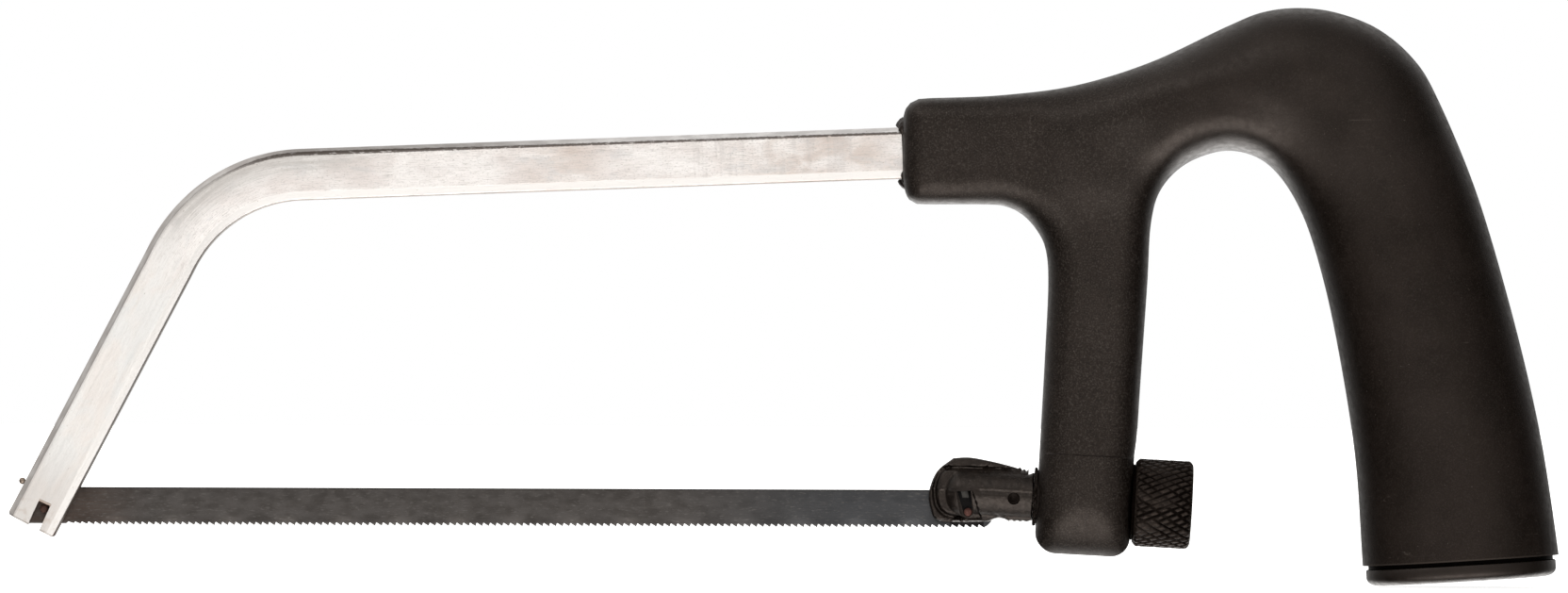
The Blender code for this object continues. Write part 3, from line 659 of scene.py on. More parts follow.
def plated():
    """Bright plated bar: finely drawn, with soft warm and grey lengths, a dark scored line below its outer
    chamfer, which is painted greyer as a reflection, and a bright band along its inner edge ending in a thin
    painted line of shade."""
    look = Look("plated_steel")
    saw_place = look.place
    look.place = look.node("ShaderNodeAttribute", {"attribute_name": "run"}).outputs["Vector"]
    along, out = look.axes(look.place)[:2]
    fine = look.noise(1.0, 3.0, (0.5, 9.0, 6.0))
    grain = look.noise(1.0, 3.0, (2.6, 4.5, 4.0))
    streak = look.noise(1.0, 4.0, (0.09, 2.2, 1.4))
    cloud = look.patches(0.35, 0.65, 1.0, 4.0, (0.11, 0.22, 0.2))
    look.base = look.mix(cloud, (0.82, 0.76, 0.73), (0.96, 0.925, 0.9))
    tarnish(look, along, out, streak)
    arm = look.spread(along, 38.0, 56.0, 1.0, 0.0)
    clouds = look.patches(0.36, 0.64, 1.0, 4.0, (0.16, 0.3, 0.3), 0.6)
    look.coat(arm, look.mix(clouds, (0.84, 0.8, 0.76), (0.83, 0.835, 0.82)), 0.75)
    look.coat(look.spread(along, 3.0, 18.0, 0.62, 0.0), (0.6, 0.56, 0.53))
    rubbed = look.math("MULTIPLY_ADD", arm, -0.7, 1.0)
    look.coat(look.spread(streak, 0.5, 0.8, 0.0, 0.35), (0.54, 0.52, 0.5))
    look.coat(look.both(rubbed, look.spread(fine, 0.46, 0.74, 0.0, 0.75)), (0.52, 0.49, 0.465))
    look.coat(look.both(rubbed, look.spread(grain, 0.5, 0.74, 0.0, 0.6)), (0.46, 0.43, 0.405))
    edge = bar_edges(look, along, out, arm)
    scored = scored_line(look, along, out)
    rust = look.patches(0.5, 0.7, 0.9, 4.0, place=saw_place)
    look.coat(look.both(look.band(along, -1.0, 4.0, 1.8), rust), (0.42, 0.32, 0.24), 0.3)
    look.coat(look.patches(0.7, 0.76, 1.0, 2.0, (1.6, 2.4, 2.4)), (0.25, 0.2, 0.17), 0.6)
    look.bump(fine, 0.006)
    look.bump(grain, 0.006)
    cut, burr = notch_finish(look)
    dull = look.math("MAXIMUM", look.math("MAXIMUM", scored, cut), look.both(edge, 0.9))
    dull = look.math("MAXIMUM", dull, look.both(burr, 0.6))
    roughness = look.spread(streak, 0.3, 0.75, 0.3, 0.42)
    metallic = look.math("MULTIPLY_ADD", dull, -0.85, 0.94)
    return look.done(roughness, metallic, look.math("MULTIPLY_ADD", dull, -0.3, 0.4))


def tarnish(look, along, out, streak):
    """Warm lengths of the top run, faint rungs across it, grey clouds, and a smear at the bend."""
    warm = look.math("ADD", look.band(look.x, 77.0, 86.5, 4.0), look.band(look.x, 112.0, 134.0, 7.0))
    warm = look.both(warm, look.patches(0.3, 0.6, 1.0, 3.0, (0.12, 0.3, 0.3), 0.5))
    look.coat(warm, (0.66, 0.565, 0.51), 0.85)
    rungs = look.patches(0.5, 0.62, 1.0, 2.0, (0.5, 0.05, 0.2))
    look.coat(look.both(rungs, look.band(look.x, 100.0, 131.0, 5.0)), (0.56, 0.52, 0.5), 0.35)
    look.coat(look.patches(0.56, 0.7, 1.0, 3.0, (0.2, 0.4, 0.4), 0.3), (0.6, 0.61, 0.62), 0.35)
    smear = look.both(look.band(along, 50.0, 82.0, 9.0), look.spread(out, -1.2, 2.2))
    smear = look.both(smear, look.spread(streak, 0.3, 0.6, 0.35, 1.0))
    look.coat(smear, (0.42, 0.4, 0.375), 0.72)


def bar_edges(look, along, out, arm):
    """The bright inner band, the thin dark inner edge painted as shade, the foot's end and the outer chamfer
    painted grey as a reflection.
    """
    side = BAR_WIDTH / 2
    inner = look.band(out, 0.3 - side, INNER_ROLL - side, 0.1)
    look.coat(inner, look.mix(arm, (0.72, 0.7, 0.68), (0.79, 0.765, 0.74)), 0.95)
    # Painted shade: a thin dark line along the inner edge, where it rounds away
    edge = look.spread(out, 0.1 - side, 0.24 - side, 0.88, 0.0)
    look.coat(edge, (0.13, 0.095, 0.07))
    look.coat(look.spread(along, 0.12, 0.35, 0.7, 0.0), (0.3, 0.275, 0.255))
    # Painted reflection on the outer chamfer: grey towards the front, turning lighter between x 60 and 95,
    # varied in patches
    scuffed = look.patches(0.4, 0.66, 1.0, 4.0, (0.35, 1.5, 1.0))
    grey = look.mix(scuffed, (0.38, 0.355, 0.34), (0.5, 0.48, 0.465))
    bright = look.mix(scuffed, (0.72, 0.7, 0.69), (0.92, 0.9, 0.885))
    grey = look.mix(look.spread(look.x, 60.0, 95.0), grey, bright)
    line_at = side - OUTER_CHAMFER
    look.coat(look.spread(out, line_at - 0.04, line_at + 0.04), grey, 0.92)
    return edge


def scored_line(look, along, out):
    """Dark ragged line below the outer chamfer, broadest just after the bend."""
    line_at = BAR_WIDTH / 2 - OUTER_CHAMFER
    ragged = look.math("MULTIPLY_ADD", look.noise(1.0, 3.0, (2.2, 2.0, 2.0)), 0.24, -0.12)
    level = look.math("ADD", out, ragged)
    broad = look.both(look.spread(along, 62.0, 74.0), look.spread(look.x, 48.0, 76.0, 0.24, 0.0))
    above = look.math("SUBTRACT", level, broad)
    line = look.spread(above, line_at + 0.08, line_at + 0.22, 1.0, 0.0)
    line = look.both(line, look.spread(level, line_at - 0.33, line_at - 0.18))
    worn = look.patches(0.56, 0.7, 1.0, 2.0, (1.1, 3.0, 3.0), to=(1.0, 0.5))
    line = look.both(line, worn, look.spread(along, 56.0, 70.0, 0.2, 0.88))
    look.coat(line, (0.04, 0.026, 0.018))
    return line


def notch_finish(look):
    """Browned walls of the notch in the foot, and the burr along its top with a painted highlight along its
    crest.
    """
    normal = look.node("ShaderNodeNewGeometry").outputs["True Normal"]
    sideways = look.math("ABSOLUTE", look.axes(normal)[1])
    cut = look.both(look.spread(sideways, 0.75, 0.97, 1.0, 0.0), look.spread(look.z, 1.2, 2.0, 1.0, 0.0))
    cut = look.both(cut, look.band(look.x, -1.9, 1.9, 0.2))
    look.coat(cut, (0.1, 0.06, 0.045))
    up, inwards = direction(NOTCH_ANGLE), direction(NOTCH_ANGLE - 90)
    rise = look.math("MULTIPLY_ADD", look.x, up[0], look.both(look.z, up[1]))
    over = look.math("MULTIPLY_ADD", look.x, inwards[0], look.both(look.z, inwards[1]))
    over = look.band(over, NOTCH_INNER - NOTCH_WIDTH, NOTCH_INNER + 0.05, 0.05)
    burr = look.both(over, look.band(rise, NOTCH_TOP - 0.1, NOTCH_TOP + 0.36, 0.05))
    look.coat(burr, (0.17, 0.1, 0.065), 0.85)
    # Painted highlight: a pale line along the crest of the burr
    crest = look.both(over, look.band(rise, NOTCH_TOP + 0.14, NOTCH_TOP + 0.24, 0.03))
    look.coat(crest, (0.75, 0.66, 0.58), 0.8)
    return cut, burr


def blued_strip():
    """Dark hardened strip: brown near its front, bluish at the rear, brighter ground teeth."""
    look = Look("blade_steel")
    drawn = look.noise(1.0, 3.0, (0.12, 1.0, 5.0))
    mottle = look.noise(0.8, 5.0, (0.5, 1.0, 1.0))
    look.base = look.mix(look.spread(mottle, 0.3, 0.7), (0.052, 0.046, 0.042), (0.074, 0.067, 0.063))
    brown = look.spread(look.x, 4.0, 18.0, 0.75, 0.0)
    look.coat(look.both(brown, look.spread(drawn, 0.3, 0.7, 0.5, 1.0)), (0.062, 0.04, 0.03))
    look.coat(look.spread(look.x, 95.0, 130.0, 0.0, 0.85), (0.048, 0.05, 0.054))
    freckle = look.patches(0.55, 0.75, 1.0, 3.0, (1.2, 2.0, 5.0), to=(0.0, 0.6))
    look.coat(freckle, (0.12, 0.112, 0.105))
    ground = look.spread(look.z, TOOTH_TIP, TOOTH_TIP + 0.65, 0.55, 0.0)
    look.coat(look.both(ground, look.spread(look.x, 132.0, 140.0, 1.0, 0.15)), (0.2, 0.19, 0.18))
    look.coat(look.spread(look.z, BLADE_TOP - 0.3, BLADE_TOP - 0.12, 0.0, 0.8), (0.02, 0.017, 0.015))
    # Painted shade over the strip where it lies inside the holder's window, with a slanted patch in it
    # painted lighter as light falling into the window
    look.coat(look.band(look.x, 143.2, 148.5, 0.1), (0.006, 0.005, 0.005))
    slant = look.math("MULTIPLY_ADD", look.z, 0.25, look.x)
    lit = look.both(look.band(slant, 145.7, 146.75, 0.08), look.band(look.z, 2.25, 3.25, 0.08))
    look.coat(lit, (0.085, 0.08, 0.074))
    look.bump(drawn, 0.012)
    look.bump(look.noise(2.5, 3.0), 0.008)
    return look.done(look.spread(mottle, 0.3, 0.7, 0.36, 0.55), 0.8, 0.5)


def dark_metal(name, dark, light, worn, roughness, metallic, grain, specular):
    """Blackened metal, rubbed lighter along its edges."""
    look = Look(name)
    look.base = look.mix(look.patches(0.35, 0.65, 0.6, 4.0), dark, light)
    look.coat(look.patches(0.58, 0.72, 2.6, 3.0, to=(0.0, 0.5)), worn)
    look.coat(look.both(look.edge_wear(), look.patches(0.35, 0.6, 1.5, 3.0)), worn, 0.75)
    look.bump(look.noise(3.0, 4.0), grain)
    varied = look.patches(0.3, 0.7, 1.4, 3.0, to=(roughness - 0.08, roughness + 0.1))
    return look.done(varied, metallic, specular, WARM_SHEEN)


def knurled_black():
    """Blackened nut: painted shade in the grooves of its knurl, lighter rubbed tops, and painted glints on
    some of them.
    """
    worn = (0.042, 0.031, 0.025)
    look = Look("nut_black_oxide")
    depth = look.node("ShaderNodeAttribute", {"attribute_name": "depth"}).outputs["Fac"]
    cloud = look.patches(0.35, 0.65, 0.7, 4.0)
    look.base = look.mix(cloud, (0.006, 0.0036, 0.0025), (0.0095, 0.0064, 0.0048))
    tops = look.spread(depth, 0.02, 0.4, 1.0, 0.0)
    look.coat(look.both(tops, look.patches(0.42, 0.7, 1.1, 4.0)), worn, 0.6)
    # Painted highlight: glints on some of the knurl's tops
    glint = look.both(look.patches(0.7, 0.78, 2.3, 2.0), look.spread(depth, 0.05, 0.3, 0.9, 0.0))
    look.coat(glint, scaled(worn, 2.2))
    # Painted shade in the knurl's grooves, darker the deeper they go
    look.coat(look.spread(depth, 0.3, 0.9, 0.0, 0.9), GROOVE_SHADE)
    look.bump(look.noise(5.0, 3.0), 0.02)
    roughness = look.patches(0.3, 0.7, 1.4, 3.0, to=(0.45, 0.6))
    return look.done(roughness, 0.15, look.spread(depth, 0.2, 0.8, 0.18, 0.03), WARM_SHEEN)


def copper_pin():
    look = Look("blade_pin_steel")
    mottle = look.noise(1.8, 3.0)
    look.base = look.mix(look.spread(mottle, 0.35, 0.65), (0.07, 0.03, 0.024), (0.12, 0.058, 0.048))
    look.coat(look.spread(look.x, 20.0, 60.0, 0.72, 0.0), (0.06, 0.038, 0.03))
    look.bump(mottle, 0.03)
    return look.done(look.spread(mottle, 0.3, 0.7, 0.5, 0.65), 0.0, 0.06)


def pale_floor():
    look = Look("pale_floor")
    look.base = look.mix(look.noise(0.02, 2.0), (0.88, 0.88, 0.875), (0.9, 0.9, 0.9))
    look.feed(look.shader.inputs["Emission Color"], (1.0, 1.0, 0.995))
    look.feed(look.shader.inputs["Emission Strength"], 0.85)
    return look.done(0.8, 0.0, 0.1)


# --- Bow ------------------------------------------------------------------------------------


def bow_path():
    """(x, z) stations down the middle of the bar, from its foot to its tail."""
    arm, top = direction(ARM_ANGLE), direction(TOP_RISE)
    reach = BEND_RADIUS * math.tan(math.radians((ARM_ANGLE - TOP_RISE) / 2))
    centre = BOW_CORNER - reach * arm + BEND_RADIUS * direction(ARM_ANGLE - 90)
    bend = arc(centre, BEND_RADIUS, ARM_ANGLE + 90, TOP_RISE + 90, BEND_STEPS)
    rise = np.linalg.norm(bend[0] - ARM_FOOT)
    steps = [0, 0.08, 0.2, 0.4, 1.2, *np.arange(3.0, rise - 1.0, STRAIGHT_STEP)]
    tail = BOW_CORNER + top * (TAIL_X - BOW_CORNER[0]) / top[0]
    run = np.linalg.norm(tail - bend[-1])
    path = [ARM_FOOT + arm * s for s in steps] + bend
    path += [bend[-1] + top * s for s in np.arange(STRAIGHT_STEP, run - 1.0, STRAIGHT_STEP)]
    return np.array(path + [tail])


def bar_section(grow=0.0, trim=0.0):
    """(outwards, across) corners of the bar: wide chamfers on its outer edge, and on the inner
    one a shallow slope that turns into a small round."""
    half, side = BAR_WIDTH / 2 + grow - trim, BAR_THICKNESS / 2 + grow
    outer = [(half - OUTER_CHAMFER - 0.15, side), (half - OUTER_CHAMFER, side)]
    outer.append((half, side - OUTER_CHAMFER))
    inner = [(-half, side - INNER_CHAMFER), (0.1 - half, side - 0.28), (0.25 - half, side - 0.11)]
    inner += [(INNER_ROLL - half, side - 0.04), (INNER_ROLL - half + 0.12, side)]
    inner.append((INNER_ROLL - half + 0.3, side))
    return outer + [(o, -a) for o, a in outer[::-1]] + [(o, -a) for o, a in inner[::-1]] + inner


def swept_bar(path, grow=0.0, trims=()):
    along = np.gradient(path, axis=0)
    along /= np.linalg.norm(along, axis=1)[:, None]
    rings = []
    for i, ((x, z), (ahead_x, ahead_z)) in enumerate(zip(path, along)):
        section = bar_section(grow, trims[i] if i < len(trims) else 0.0)
        rings.append([(x - ahead_z * out, across, z + ahead_x * out) for out, across in section])
    return lofted(rings)


def add_run(made, path):
    """Stores each vertex's distance along, out from and across the bar, for its finish."""
    places = places_of(made.data)
    flat = places[:, [0, 2]]
    spans = np.diff(path, axis=0)
    lengths = np.linalg.norm(spans, axis=1)
    starts = np.concatenate([[0], np.cumsum(lengths)[:-1]])
    offsets = flat[:, None] - path[:-1]
    shares = np.clip((offsets * spans).sum(2) / lengths**2, 0, 1)
    nearest = path[:-1] + shares[..., None] * spans
    best = np.linalg.norm(flat[:, None] - nearest, axis=2).argmin(1)
    row = np.arange(len(flat))
    ahead = spans[best] / lengths[best][:, None]
    side = flat - nearest[row, best]
    out = side[:, 1] * ahead[:, 0] - side[:, 0] * ahead[:, 1]
    run = np.stack([starts[best] + shares[row, best] * lengths[best], out, places[:, 1]], -1)
    attribute = made.data.attributes.new("run", "FLOAT_VECTOR", "POINT")
    attribute.data.foreach_set("vector", run.astype(np.float32).ravel())


def on_stop_pin():
    return lengthwise(STOP_CENTRE, direction(ARM_ANGLE - 90), STOP_DEPTH)


def bow_bar():
    path = bow_path()
    bow = swept_bar(path, 0.0, (0.4, 0.2, 0.08))
    reach = BAR_WIDTH * 1.5
    boolean(bow, cutter(rectangle(-reach, -reach, reach, SLIT_TOP), SLIT_WIDTH / 2))
    up, inwards = direction(NOTCH_ANGLE), direction(NOTCH_ANGLE - 90)
    left, right = NOTCH_INNER - NOTCH_WIDTH, NOTCH_INNER
    corners = [(-reach, left), (-reach, right), (NOTCH_TOP - NOTCH_CORNER, right)]
    corners += [(NOTCH_TOP, right - NOTCH_CORNER), (NOTCH_TOP, left + NOTCH_CORNER)]
    corners.append((NOTCH_TOP - NOTCH_CORNER, left))
    boolean(bow, cutter([up * rise + inwards * side for rise, side in corners], NOTCH_CUTTER_HALF))
    boolean(bow, rod(0.3, STOP_HOLE_DEPTH, STOP_SHANK_RADIUS + BORE_GAP, 24, on_stop_pin()))
    edges = {"limit_method": "ANGLE", "angle_limit": math.radians(30), "miter_outer": "MITER_ARC"}
    modified(bow, "BEVEL", width=BOW_EASE, segments=2, use_clamp_overlap=True, **edges)
    add_run(bow, path)
    # The flat faces keep their own normals next to the narrow bevels
    smoothed(bow.data, 40)
    modified(bow, "WEIGHTED_NORMAL", weight=90, keep_sharp=True)
    return bow


def stop_pin():
    ball = [tuple(STOP_BALL_RADIUS * direction(angle)) for angle in range(168, 40, -12)]
    shank = [(0.42, STOP_SHANK_RADIUS), (STOP_LENGTH, STOP_SHANK_RADIUS), (STOP_LENGTH, 0.0)]

    def dented(u, radius, angle):
        dent = 0.03 * np.sin(3 * angle + 4 * u) * (radius > 0.31)
        return u, radius - np.abs(dent)

    return turned([(-STOP_BALL_RADIUS, 0.0), *ball, *shank], 32, dented, on_stop_pin())


# --- Blade ----------------------------------------------------------------------------------


def toothed_edge():
    """The blade's lower edge from the handle's end to the front, its first teeth worn blunt."""
    draw = np.random.default_rng(24)
    root = TOOTH_TIP + TOOTH_DEPTH
    edge = [(TEETH_TO + TOOTH_PITCH * 0.15, PLAIN_EDGE)]
    for tooth in range(int((TEETH_TO - TEETH_FROM) / TOOTH_PITCH)):
        tip = TEETH_TO - TOOTH_PITCH * tooth
        blunt = 0.32 * smooth_step(10.0 - tip, 0.0, 6.0) * draw.uniform(0.2, 1.0) + draw.uniform(0, 0.03)
        edge += [(tip + 0.02, TOOTH_TIP + blunt + 0.02), (tip - 0.05, TOOTH_TIP + blunt)]
        edge.append((tip - TOOTH_PITCH * 0.45, TOOTH_TIP + 0.27 + blunt * 0.4))
        edge += [(tip - TOOTH_PITCH * 0.76, root - 0.01), (tip - TOOTH_PITCH * 0.85, root - 0.03)]
    return edge + [(edge[-1][0] - TOOTH_PITCH * 0.3, PLAIN_EDGE), (BLADE_FRONT, PLAIN_EDGE)]


def blade_strip():
    upper = [(x, BLADE_TOP) for x in (*np.arange(BLADE_FRONT, BLADE_REAR, 4.0), BLADE_REAR)]
    steps = ((0.0, 0.8), (0.4, 0.35), (0.8, 0.0))
    corner = [(BLADE_REAR - back, PLAIN_EDGE + rise) for back, rise in steps]
    outline = np.array(upper + corner + toothed_edge())[::-1]
    rows = []
    for levels, step in (((-1.6, -1.3, -0.9), 0.5), ((1.2, BLADE_TOP - 0.1), 2.0)):
        rows += [(x, z) for z in levels for x in np.arange(BLADE_FRONT + 1, BLADE_REAR - 0.5, step)]
    rows = np.array(rows)
    pins = [(0.0, 0.0), (PIN_SPACING, 0.0)]
    keep = np.all([np.linalg.norm(rows - pin, axis=1) > 0.95 for pin in pins], axis=0)
    holes = [np.array(circle(pin, BLADE_PIN_RADIUS - 0.02, 24)) for pin in pins]

    def height(points, side):
        return BLADE_HALF - 0.05 * smooth_step(points[:, 1], BLADE_TOP - 0.1, BLADE_TOP)

    def wave(points):
        amount = smooth_step(points[:, 1], -0.9, -2.2) * smooth_step(points[:, 0], 1.5, 6.0)
        amount = amount * smooth_step(-points[:, 0], -BLADE_REAR, -144.0)
        return TOOTH_SET * amount * np.sin(2 * math.pi * points[:, 0] / SET_PERIOD)

    return slab(outline, rows[keep], height, wave, holes)


def blade_pin(x):
    half, end = BLADE_PIN_HALF, BLADE_PIN_HALF - 0.12
    profile = [(-half, 0.0), (-half, 0.4), (-end, 0.6), (0.1 - end, BLADE_PIN_RADIUS)]
    return turned(mirrored(profile), 40, None, crosswise((x, 0.0)))


# --- Tensioner ------------------------------------------------------------------------------


def holder_outline():
    heels = [in_screw_frame(HOLDER_REAR + 0.06, w) for w in (3.75, -3.75)]
    crest = [(155.55, 5.9), (155.6, 6.75), (155.25, 6.45), (154.95, 6.8), (154.55, 6.6), (154.3, 7.05)]
    crown = spline([(153.9, 6.9), (152.2, 7.4), (149.2, 8.1), (146.2, 8.6), (143.7, 8.5)], 0.4)
    brow = spline([(143.7, 8.5), (141.3, 6.6), (140.1, 4.2), (139.8, 2.0), (140.4, -0.6)], 0.3)
    chin = spline([(140.4, -0.6), (141.4, -1.4), (144.5, -1.6), (149.4, -1.5)], 0.4)
    jaw = spline([(149.4, -1.5), (150.2, -1.05), (151.0, -0.95), (151.8, -1.1), (152.4, -1.45)], 0.2)
    thread = [(152.4, -1.45), (152.9, -1.3), (153.3, -1.5), (153.8, -1.32)]
    thread += [(154.2, -1.5), (154.7, -1.36), (155.2, -1.5)]
    points = [heels[0], *crest, *crown, *brow, *chin, *jaw, *thread, heels[1]]
    return np.array(points)[::-1]


def ditch(line, points, half_width):
    """1 along the open line, fading to 0 at the half width."""
    gap = distance_to(np.array(line, float), points, closed=False)
    return 1 - smooth_step(gap, half_width * 0.35, half_width)


def holder_height(outline):
    crescent = [(143.0, 7.05), (142.2, 6.85), (141.4, 6.0), (140.95, 4.9), (140.7, 3.8), (140.7, 2.6)]
    crescent += [(140.95, 1.3), (141.5, 0.25), (142.4, -0.5), (143.8, -0.85), (145.2, -0.95)]
    face = np.array(crescent + [(158.0, -2.5), (158.0, 6.2)])
    # Lines cut into the casting, or raised where the depth is negative: line, depth, half width
    ditches = (
        (crescent, 0.5, 0.42),
        ([(142.6, 7.0), (145.0, 7.02), (150.0, 6.85), (156.0, 6.5)], 0.4, 0.34),
        ([(139.9, 3.9), (142.0, 3.6), (144.0, 3.15)], -0.1, 0.13),
        ([(144.9, -0.8), (143.4, -1.2), (141.9, -1.35)], 0.35, 0.18),
        ([(145.6, -0.9), (144.7, -1.5)], 0.3, 0.18),
    )

    def height(points, side):
        x, z = points.T
        u, w = to_screw_frame(points)
        bulge = np.clip(HOLDER_NOSE + HOLDER_NOSE_LENGTH - u, 0, HOLDER_NOSE_LENGTH) / HOLDER_NOSE_LENGTH
        radius = HOLDER_RADIUS * np.sqrt(1 - bulge**2)
        body = np.sqrt(np.maximum(radius**2 - w**2, 0))
        body = body - 0.22 * np.exp(-(((w - 0.45) / 0.32) ** 2)) * smooth_step(x, 147.0, 148.0)
        edge = np.clip(distance_to(outline, points) / FIN_EDGE, 0, 1)
        fin = FIN_HALF - FIN_EDGE + FIN_EDGE * np.sqrt(1 - (1 - edge) ** 2)
        fin = fin + 0.35 * inside(face, points) * smooth_step(distance_to(face, points), 0.1, 0.7)
        beyond = x - 148.4 - (z - 7.0) * 1.3
        fin = fin - 0.28 * smooth_step(beyond, 0.0, 0.25) * smooth_step(z, 6.6, 7.1)
        tall = 0.5 * (body + fin + np.sqrt((body - fin) ** 2 + 0.15**2))
        for line, depth, half_width in ditches:
            tall = tall - depth * ditch(line, points, half_width)
        ledge_edge = 146.75 + (3.3 - z) * 0.33
        ledge = smooth_step(x, 145.9, 146.1) * smooth_step(-x, -ledge_edge, -ledge_edge + 0.15)
        ledge = ledge * smooth_step(z, -1.3, -0.9) * smooth_step(-z, -3.5, -3.2)
        tall = tall - 0.5 * ledge
        solid = np.stack([x, side * tall, z], -1)
        return tall + 0.045 * rough(solid, 1.3) + 0.02 * rough(solid, 4.0, 7.0)

    return height


def holder():
    outline = holder_outline()
    grid = filling(outline, (139.5, -2.0), (156.6, 9.0), 0.17)
    # Minus is inwards here, because the holder's outline runs anticlockwise
    ring = outline - inwards_from(outline) * 0.06
    ring = ring[inside(outline, ring) & (distance_to(outline, ring) > 0.05)]
    grid = np.concatenate([grid[distance_to(outline, grid) > 0.16], ring])
    head = slab(outline, grid, holder_height(outline))
    slit = rectangle(130.0, -8.0, HOLDER_SLIT_REAR, HOLDER_SLIT_TOP)
    boolean(head, cutter(slit, SLIT_WIDTH / 2))
    seat = arc((PIN_SPACING, 0.0), BLADE_PIN_RADIUS + BORE_GAP, 180, 360, 16)
    boolean(head, cutter([(144.3, SEAT_TOP), *seat, (146.4, SEAT_TOP)]))
    mouth = [(144.0, SEAT_TOP + 0.02), (144.7, -0.2), (145.2, -0.9), (146.0, -1.1), (146.75, -0.75)]
    mouth += [(146.95, 0.0), (146.45, SEAT_TOP + 0.02)]
    for near, far in ((-THROUGH, -SEAT_RECESS), (SEAT_RECESS, THROUGH)):
        boolean(head, prism(mouth, near, far))
    boolean(head, rod(SPIGOT_FRONT - BORE_GAP, -7.0, SPIGOT_RADIUS + BORE_GAP, 40))
    boolean(head, cross_hole())
    return head


def cross_hole():
    return cutter(circle(in_screw_frame(*CROSS_PIN_AT), CROSS_PIN_HOLE, 32))


def threaded(u, radius, angle):
    """The stud's own thread, cut into its rear length."""
    turn = u / THREAD_PITCH - angle / (2 * math.pi)
    share = np.abs((turn % 1.0) - 0.5) * 2
    depth = THREAD_DEPTH * np.clip(1.15 * share - 0.1, 0, 1)
    ends = smooth_step(u, THREAD_FROM, THREAD_FROM + 0.7) * (1 - smooth_step(u, STUD_REAR - 0.02, STUD_REAR))
    return u, radius - depth * ends


def stud():
    stations = [(SPIGOT_FRONT, 0.0), (SPIGOT_FRONT, SPIGOT_RADIUS - 0.2)]
    stations += [(SPIGOT_FRONT + 0.2, SPIGOT_RADIUS), (SHANK_FRONT, SPIGOT_RADIUS)]
    stations += [(SHANK_FRONT, SHANK_RADIUS - 0.15), (SHANK_FRONT + 0.15, SHANK_RADIUS)]
    stations += [(u, SHANK_RADIUS) for u in (-6.0, -2.0, 2.0, SHANK_REAR)]
    stations += [(SHANK_REAR + 0.6, THREAD_RADIUS)]
    stations += [(u, THREAD_RADIUS) for u in np.arange(THREAD_FROM, STUD_REAR - 0.6, THREAD_PITCH / 12)]
    stations += [(STUD_REAR - 0.6 + t, THREAD_RADIUS - t) for t in (0.08, 0.2, 0.35, 0.5, 0.6)]
    made = turned([*stations, (STUD_REAR, 0.0)], 64, threaded)
    boolean(made, cross_hole())
    return made


def cross_pin():
    profile = [(-2.75, 0.0), (-2.8, 0.3), (-3.15, 0.62), (-3.25, 0.85), (-3.1, 0.98), (-2.8, 1.0)]

    def peened(u, radius, angle):
        return u * (1 - 0.02 * np.abs(np.sin(2 * angle)) * (radius < 0.8)), radius

    return turned(mirrored(profile), 40, peened, crosswise(in_screw_frame(*CROSS_PIN_AT)))


def sleeve():
    bore = SHANK_RADIUS + RUNNING_GAP
    rim_rear = BOSS_FRONT - 0.1
    end = BOSS_REAR - 0.3
    stations = [(RIM_FRONT, bore), (RIM_FRONT, 4.0), (RIM_FRONT, 4.4), (RIM_FRONT + 0.12, RIM_RADIUS)]
    stations += [(rim_rear - 0.12, RIM_RADIUS), (rim_rear, 4.5)]
    stations += [(rim_rear, SLEEVE_RADIUS), (end, SLEEVE_RADIUS), (end, bore)]

    def ragged(u, radius, angle):
        spots = np.stack([np.cos(angle) * RIM_RADIUS, np.sin(angle) * RIM_RADIUS, u * 2.0], -1)
        bite = rough(spots.reshape(-1, 3), 1.4, 3.0).reshape(u.shape)
        rim = radius > 4.3
        radius = radius - rim * np.clip(0.2 + 0.45 * bite, 0, 0.5)
        return u + (rim & (u < RIM_FRONT + 0.2)) * np.clip(0.05 + 0.2 * bite, 0, 0.25), radius

    return turned(stations, 180, ragged)


def washer():
    front, eye = BOSS_REAR + 0.06, SHANK_RADIUS + 0.3
    rear = front + WASHER_THICKNESS
    stations = [(front, eye), (front, WASHER_RADIUS - 0.08), (front + 0.08, WASHER_RADIUS)]
    stations += [(rear - 0.08, WASHER_RADIUS), (rear, WASHER_RADIUS - 0.08), (rear, eye)]
    return turned(stations, 96)


